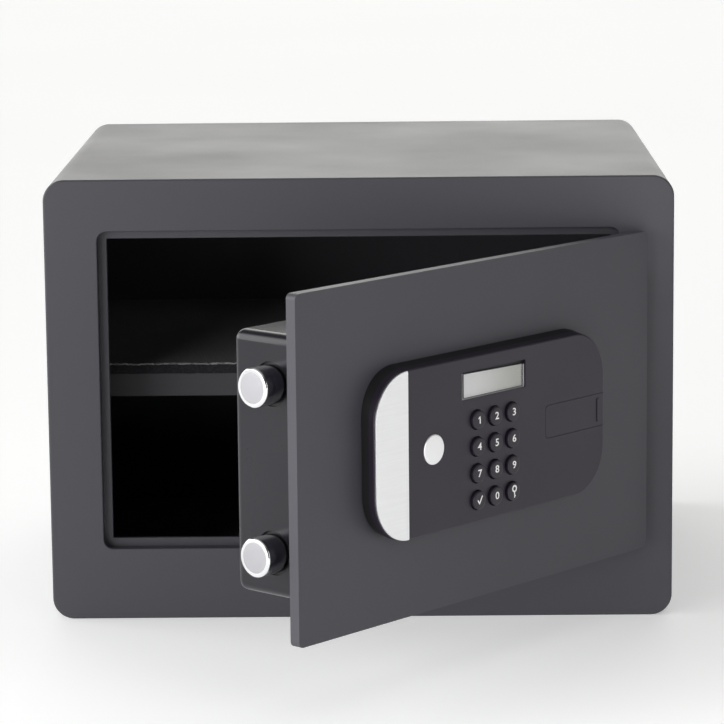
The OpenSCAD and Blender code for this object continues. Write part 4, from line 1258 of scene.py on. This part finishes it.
@dataclass
class Keypad:
    """The housing on the door, its end plate, its disc, and the sliding cover."""

    x: Span = (-96.9, 91.1)
    z: Span = (85.5, 173.5)
    middle: float = 129.5
    corner: float = 25.0
    front: float = -10.0
    cap_back: float = -6.0
    wall: float = 2.0
    inset: float = 1.2
    base_floor: float = 1.5
    base_edge: float = 0.4
    slant: float = 0.21
    cap_edge: float = 0.9
    seam_edge: float = 0.22
    key_gap: float = 5.45
    trim: float = 0.8
    trim_gap: float = 0.3
    trim_edge: float = 0.3
    trim_corner: float = 1.2
    trim_right: float = -71.7
    disc: Span = (-51.5, 129.5)
    disc_r: float = 7.9
    cover_left: float = 40.4
    cover_half: float = 9.0
    cover_corner: float = 2.5
    bed_margin: float = 2.0
    fit: float = 0.2
    rib_x: Span = (84.8, 88.2)
    rib_half: float = 6.4
    rib_high: float = 0.45
    far: float = 100.0
    facets: int = 14
    display: Display = Display()

    def outline(self, inset: float) -> Outline:
        """Gives the housing's outline, drawn in by an inset."""
        return within(self.x, inset), within(self.z, inset), self.corner - inset

    def slanted(self, half: Blank) -> Blank:
        """Slants the upper side of half the housing, so that it widens towards the door."""
        for vert in half.bm.verts:
            if vert.co.z > self.middle:
                vert.co.z += self.slant * (vert.co.y - self.front)
        return half

    def base(self) -> Blank:
        """Makes the housing's back half: a tray with a rim."""
        x, z, radius = self.outline(self.inset)
        y, z = (self.cap_back, 0.0), (z[0], self.z[1])
        base = self.slanted(Blank.slab(x, z, y, radius, self.facets))
        x, z, radius = self.outline(self.inset + self.wall)
        y = (self.cap_back - PAST, -self.base_floor)
        base.cut(Blank.slab(x, z, y, radius, self.facets))
        ends = (-self.base_floor - PAST, PAST)
        hole = rod(Axis.Y, CABLE_AT, ends, CABLE_HOLE)
        bore = rod(Axis.Y, LOCK_AT, ends, LOCK_HOLE)
        return base.cut(hole, bore).softened(self.base_edge, 2, lambda at: at.y > -NEAR)

    def cap(self) -> Blank:
        """Makes the front cap: a shallow shell with its openings and the cover's bed."""
        x, z, radius = self.outline(0.0)
        cap = Blank.slab(x, z, (self.front, self.cap_back), radius, self.facets)
        self.slanted(cap.softened(self.cap_edge, 5, lambda at: at.y < self.front + NEAR))
        x, z, radius = self.outline(self.wall)
        ends = (self.front + self.wall, self.cap_back + PAST)
        room = Blank.slab(x, z, ends, radius, self.facets)
        bed = around(self.middle, self.cover_half + self.bed_margin)
        ends = (self.front + PAST, self.cap_back + PAST)
        keep = box((self.cover_left - self.bed_margin, self.far), ends, bed)
        cap.cut(room.cut(keep))
        ends = (self.front - PAST, self.front + self.wall + 0.5)
        tools = [rod(Axis.Y, (kx, kz), ends, self.key_gap, 40) for kx in KEY_XS for kz in KEY_ZS]
        tools.append(Blank.slab(self.display.x, self.display.z, ends, 0.6, 4))
        band = around(self.middle, self.cover_half)
        ends = (self.front - PAST, self.front + self.wall)
        x = (self.cover_left, self.far + 10.0)
        tools.append(Blank.slab(x, band, ends, self.cover_corner, 6))
        cap.cut(*tools)
        ends = (self.front - PAST, self.cap_back + PAST)
        edge = box((self.x[1] - self.wall, self.far), ends, band)
        cap.cut(edge, rod(Axis.Y, LOCK_AT, (self.front + 1.5, 0.0), LOCK_HOLE))
        return cap.softened(self.seam_edge, 2, lambda at: at.y < self.front + NEAR)

    def end_trim(self) -> Blank:
        """Makes the brushed plate at the left end."""
        x, z, radius = self.outline(self.trim_gap)
        trim = Blank.slab(x, z, (self.front - self.trim, self.front), radius, 16)
        x, ends = (self.x[0] - 40.0, self.trim_right), (self.front - 2 * PAST, self.front + PAST)
        side = Blank.slab(x, self.z, ends, self.trim_corner, 6)
        trim.combined(Meeting.KEPT, side)
        return trim.softened(self.trim_edge, 3, lambda at: at.y < self.front - 0.5)

    def badge(self) -> Blank:
        """Makes the small round plate, which is left blank, a little domed."""
        back, front, r = self.front, self.front - self.trim, self.disc_r
        profile = [(front, 0.0), (front + 0.02, r / 2), (front + 0.08, r - 0.6)]
        profile += [(front + 0.2, r - 0.2), (front + 0.45, r), (back, r), (back, 0.0)]
        return Blank.turned(Axis.Y, self.disc, profile, 64)

    def cover(self) -> Blank:
        """Makes the sliding cover, wrapped round the housing's right end, with its grip rib."""
        front, right, left = self.front, self.x[1], self.cover_left + self.fit
        low, high = around(self.middle, self.cover_half - self.fit)
        ends = (front, self.cap_back - self.fit)
        cover = Blank.slab((left, right + 10.0), (low, high), ends, self.cover_corner, 6)
        ends = (front - 2 * PAST, self.cap_back + PAST)
        end = box((left - PAST, right), ends, (low - PAST, high + PAST))
        cover.combined(Meeting.KEPT, end)
        thick = self.wall - self.fit
        under = within((low, high), -2 * PAST)
        cover.cut(box((left - 2 * PAST, right - thick), (front + thick, 0.0), under))
        cover.softened(self.cap_edge, 5, lambda at: at.y < front + NEAR and at.x > right - NEAR)
        cover.softened(self.seam_edge, 2, lambda at: at.y < front + NEAR and at.x < right - 0.5)
        ends = (front - self.rib_high, front + 0.5)
        rib = Blank.slab(self.rib_x, around(self.middle, self.rib_half), ends, 0.6, 4)
        return cover.combined(Meeting.FUSED, rib.softened(0.12, 2, lambda at: at.y < front))

    def build(self, bench: Bench) -> None:
        """Places the housing's pieces."""
        bench.place("keypad_back", self.base(), BLACK_ABS, "door", "keypad_base")
        bench.place("keypad_front", self.cap(), HOUSING, "door", "keypad_cap")
        bench.place("end_trim", self.end_trim(), BRUSHED, "door", "end_plate")
        bench.place("plain_disc", self.badge(), SATIN, "door", "blank_disc")
        window, unit = self.display.window(), self.display.unit()
        # The window's black edges are painted shade
        bench.place("display_window", window, [ACRYLIC, BLACK_ABS], "door", "lcd_window")
        finishes = [REFLECTOR, BEZEL, BLACK_ABS, GREY_ABS]
        bench.place("display_unit", unit, finishes, "door", "lcd_module")
        bench.place("sliding_cover", self.cover(), HOUSING, "cover", "override_cover")
        bench.paint(NICKEL, "lock_housing")
        bench.paint(BRASS, "lock_plug")


@dataclass
class KeyField:
    """The twelve keys and what is printed on them."""

    front: float = -12.0
    back: float = -7.95
    flange: float = 0.8
    radius: float = 5.0
    print_size: float = 5.5
    print_wide: float = 1.2
    print_up: float = 0.03
    print_thick: float = 0.2
    names: tuple = ("1", "2", "3", "4", "5", "6", "7", "8", "9", "ok", "0", "lock")

    def cap(self, x: float, z: float) -> Blank:
        """Makes one key with a soft rim and the flange that holds it."""
        front, r = self.front, self.radius
        rim = [(0.0, r), (0.0, 1.1), (0.05, 0.75), (0.17, 0.4), (0.36, 0.14), (0.62, 0.02)]
        profile = [(front + along, r - inset) for along, inset in rim]
        base, wide = self.back + self.flange, r + self.flange
        profile += [(front + 0.9, r), (self.back, r), (self.back, wide), (base, wide)]
        return Blank.turned(Axis.Y, (x, z), profile + [(base, 0.0)], 40)

    def stroke(self, start: Span, end: Span, width: float) -> Blank:
        """Makes one straight printed stroke.

        Args:
            start: Its start, as x and z from the key's middle.
            end: Its end.
            width: Its width.

        Returns:
            The stroke, about the key's middle.
        """
        run = Vector(end) - Vector(start)
        half = width / 2
        length = (-half, run.length + half)
        bar = Blank.slab(length, (-half, half), (0.0, self.print_thick), half * 0.98, 5)
        turn = Matrix.Rotation(-math.atan2(run.y, run.x), 4, "Y")
        return bar.moved(Matrix.Translation((start[0], 0.0, start[1])) @ turn)

    def tick(self) -> Blank:
        """Makes the printed check mark."""
        low = (-0.45, -1.75)
        return self.stroke((-1.6, 0.0), low, 0.8).join(self.stroke(low, (1.75, 2.0), 0.8))

    def key_sign(self) -> Blank:
        """Makes the printed key: a ring, a stem and one tooth."""
        thick, inner, outer = self.print_thick, 1.05, 1.95
        profile = [(0.0, inner), (0.0, outer), (thick, outer), (thick, inner), (0.0, inner)]
        ring = Blank.turned(Axis.Y, (0.0, 1.5), profile, 32)
        stem = self.stroke((0.0, -0.2), (0.0, -3.0), 0.85)
        return ring.join(stem, self.stroke((0.1, -2.3), (0.75, -2.3), 0.7))

    def one(self) -> Blank:
        """Makes the printed 1: a stem with a flag."""
        stem = self.stroke((0.3, -1.65), (0.3, 1.65), 0.75)
        return stem.join(self.stroke((0.25, 1.6), (-0.85, 0.85), 0.65))

    def digit(self, text: str) -> Blank:
        """Makes a printed digit of Blender's own typeface."""
        curve = bpy.data.curves.new("digit", "FONT")
        curve.body, curve.size = text, self.print_size
        curve.align_x, curve.align_y = "CENTER", "CENTER"
        curve.offset, curve.extrude, curve.resolution_u = 0.07, self.print_thick / 2, 4
        made = Blank.of_object(shown("digit", curve))
        bpy.data.curves.remove(curve)
        lift = Matrix.Translation((0.0, self.print_thick / 2, 0.0))
        upright = lift @ Matrix.Rotation(math.pi / 2, 4, "X")
        return made.moved(Matrix.Diagonal((self.print_wide, 1.0, 1.0, 1.0)) @ upright).closed()

    def build(self, bench: Bench) -> None:
        """Places the twelve keys."""
        signs = {"1": self.one, "ok": self.tick, "lock": self.key_sign}
        for number, name in enumerate(self.names):
            x, z = KEY_XS[number % 3], KEY_ZS[number // 3]
            mark = signs[name]() if name in signs else self.digit(name)
            mark.moved(Matrix.Translation((x, self.front - self.print_up, z))).tinted(1)
            key = self.cap(x, z).join(mark)
            bench.place(f"button_{name}", key, [KEYCAP, INK], f"key_{name}", f"key_{name}")


@dataclass
class BatteryBay:
    """The cells, the tray and its lid, and the reset button."""

    left: float = -3.0
    pitch: float = 51.5
    length: float = 50.5
    y: float = 42.3
    zs: Span = (80.05, 95.95)
    radius: float = 7.05
    sleeve: float = 34.0
    cap: float = 1.5
    lid_x: Span = (-11.0, 106.0)
    lid_z: Span = (68.35, 107.65)
    lid_y: Span = (51.5, 53.0)
    lid_edge: float = 0.35
    groove_margin: float = 8.0
    groove_wide: float = 1.5
    groove_deep: float = 0.5
    groove_step: float = 3.0
    grooves: int = 5
    button: float = 4.0
    button_end: float = 53.4
    flange: float = 5.5
    flange_y: Span = (48.0, 49.2)

    def cell(self, x: float, z: float) -> Blank:
        """Makes one cell: steel ends, and a sleeve in two colours."""
        r, sleeve, top, tip = self.radius, self.sleeve, self.length - self.cap, self.length
        body = [(0.0, 0.0), (0.0, r - 1.4), (0.25, r - 1.1), (0.25, r - 0.5), (0.0, r - 0.3)]
        body += [(0.3, r), (sleeve, r), (sleeve, 0.0)]
        end = [(sleeve, 0.0), (sleeve, r), (tip - 1.9, r), (top, r - 0.4), (top, 0.0)]
        knob = [(top, 0.0), (top, 2.7), (tip - 0.3, 2.6), (tip, 2.2), (tip, 0.0)]
        body, end, knob = (
            Blank.turned(Axis.X, (self.y, z), [(x + s, q) for s, q in profile], 32)
            for profile in (body, end, knob)
        )
        body.tinted(2, lambda at: at.x < x + 0.2)
        return body.join(end.tinted(1), knob.tinted(2))

    def lid(self) -> Blank:
        """Makes the lid with its grip grooves."""
        lid = Blank.slab(self.lid_x, self.lid_z, self.lid_y, 1.0, 4).softened(self.lid_edge, 3)
        back, margin = self.lid_y[1], self.groove_margin
        z, y = within(self.lid_z, margin), (back - self.groove_deep, back + PAST)
        starts = (self.lid_x[0] + margin + self.groove_step * n for n in range(self.grooves))
        return lid.cut(*(Blank.slab((x, x + self.groove_wide), z, y, 0.7, 4) for x in starts))

    def reset(self) -> Blank:
        """Makes the reset button with its domed end and its flange."""
        end, r, (back, front) = self.button_end, self.button, self.flange_y
        profile = [(end, 0.0), (end - 0.1, r / 2), (end - 0.4, r - 0.7), (end - 0.9, r - 0.1)]
        profile += [(end - 1.4, r), (front, r), (front, self.flange)]
        profile += [(back, self.flange), (back, 0.0)]
        return Blank.turned(Axis.Y, RESET_AT, profile, 32)

    def build(self, bench: Bench) -> None:
        """Places the cells, the lid and the button."""
        lefts = (self.left, self.left + self.pitch)
        cells = Blank().join(*(self.cell(x, z) for x in lefts for z in self.zs))
        finishes = [SLEEVE, SLEEVE_END, NICKEL]
        bench.place("sleeved_cells", cells, finishes, "door", "batteries")
        bench.place("ribbed_lid", self.lid(), BLACK_ABS, "lid", "battery_lid")
        bench.place("reset_knob", self.reset(), RED, "reset", "reset_button")
        bench.paint(BLACK_ABS, "battery_tray")
        bench.paint(NICKEL, "battery_contacts")


@dataclass
class Studio:
    """The camera of the photograph, the pale floor and the soft lights.

    Attributes:
        focus: The camera's focal length, in pixels of its square frame.
        walls: Axis, side, brightness and tint of each lit wall of the tent.
        wall_from: How far a direction must lean to a wall before it meets light.
        wall_full: How far, before it meets all of it.
        lamps: Name, place, side and power of each soft box.
        floor_half: Half the floor's side, in metres.
    """

    eye: Triple = (23.14, -1982.97, 470.61)
    yaw: float = -0.683
    pitch: float = -10.027
    roll: float = -0.5825
    focus: float = 3333.5
    frame: float = 724.0
    sensor: float = 36.0
    walls: tuple = (
        ("X", 1, 0.3, "#ffffff"),
        ("X", -1, 3.7, "#ffffff"),
        ("Y", 1, 2.5, "#fffffa"),
        ("Z", 1, 0.5, "#ffffff"),
    )
    wall_from: float = 0.65
    wall_full: float = 0.85
    lamps: tuple = (
        ("low_left", (-900.0, -1300.0, 350.0), 900.0, 9.8),
        ("near_right", (250.0, -700.0, 250.0), 300.0, 0.7),
    )
    aim: Triple = (0.0, 0.0, 120.0)
    floor_half: float = 12.0

    def camera(self) -> None:
        """Adds the photograph's camera."""
        yaw, pitch, roll = (math.radians(angle) for angle in (self.yaw, self.pitch, self.roll))
        level = math.cos(pitch)
        ahead = Vector((math.sin(yaw) * level, math.cos(yaw) * level, math.sin(pitch)))
        across = Vector((math.cos(yaw), -math.sin(yaw), 0.0))
        above = across.cross(ahead)
        right = math.cos(roll) * across + math.sin(roll) * above
        up = math.cos(roll) * above - math.sin(roll) * across
        data = bpy.data.cameras.new("photo_camera")
        data.sensor_fit = "HORIZONTAL"
        data.sensor_width = self.sensor
        data.lens = self.focus * self.sensor / self.frame
        data.clip_start, data.clip_end = 0.05, 100.0
        camera = shown("photo_camera", data)
        turn = Matrix((right, up, -ahead)).transposed().to_4x4()
        camera.matrix_world = Matrix.Translation(Vector(self.eye) * MM) @ turn
        bpy.context.scene.camera = camera

    def soft_boxes(self) -> None:
        """Adds the soft boxes."""
        for name, at, size, power in self.lamps:
            data = bpy.data.lights.new(name, "AREA")
            data.shape, data.size, data.energy = "SQUARE", size * MM, power
            lamp = shown(name, data)
            lamp.location = Vector(at) * MM
            way = Vector(self.aim) - Vector(at)
            lamp.rotation_euler = way.to_track_quat("-Z", "Y").to_euler()
            lamp.visible_camera = False

    def tent(self) -> None:
        """Adds a light tent, whose walls differ in brightness and which looks white."""
        world = bpy.data.worlds.new("light_tent")
        world.use_nodes = True
        tree = world.node_tree
        tree.nodes.clear()
        way = add(tree, "SeparateXYZ", links={"Vector": add(tree, "TexCoord").outputs["Generated"]})
        light = add(tree, "Background", {"Strength": 0.0}).outputs[0]
        for axis, side, strength, tint in self.walls:
            low, high = side * self.wall_from, side * self.wall_full
            span = {"From Min": low, "From Max": high, "To Max": strength}
            fed = {"Value": way.outputs[axis]}
            share = add(tree, "MapRange", span, fed, interpolation_type="SMOOTHSTEP")
            colour = {"Color": linear(tint)}
            wall = add(tree, "Background", colour, {"Strength": share.outputs[0]})
            light = add(tree, "AddShader", links={0: light, 1: wall.outputs[0]}).outputs[0]
        seen = add(tree, "Background", {"Color": linear("#ffffff"), "Strength": 1.0})
        ray = add(tree, "LightPath").outputs["Is Camera Ray"]
        mix = add(tree, "MixShader", links={0: ray, 1: light, 2: seen.outputs[0]})
        add(tree, "OutputWorld", links={"Surface": mix.outputs[0]})
        bpy.context.scene.world = world
        bpy.context.scene.view_settings.view_transform = "Standard"

    def floor(self) -> None:
        """Adds the pale floor."""
        made = Blank()
        bmesh.ops.create_grid(made.bm, x_segments=1, y_segments=1, size=self.floor_half)
        mesh = made.mesh("studio_floor")
        made.bm.free()
        mesh.materials.append(PAPER.material(None))
        floor = shown("studio_floor", mesh)

    def build(self) -> None:
        """Sets the studio up."""
        self.camera()
        self.soft_boxes()
        self.tent()
        self.floor()


def corners(bounds: tuple) -> list[list[float]]:
    """Gives two corners as plain lists of numbers."""
    return [[float(value) for value in corner] for corner in bounds]


def main() -> None:
    """Builds every sub-assembly in order."""
    logging.basicConfig(level=logging.INFO, format="%(name)s: %(message)s")
    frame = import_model()
    Studio().build()
    bench = Bench(frame)
    for part in (Cabinet(), Interior(), Door(), Boltwork(), Keypad(), KeyField(), BatteryBay()):
        LOG.info("building %s", type(part).__name__)
        part.build(bench)


if __name__ == "__main__":
    main()
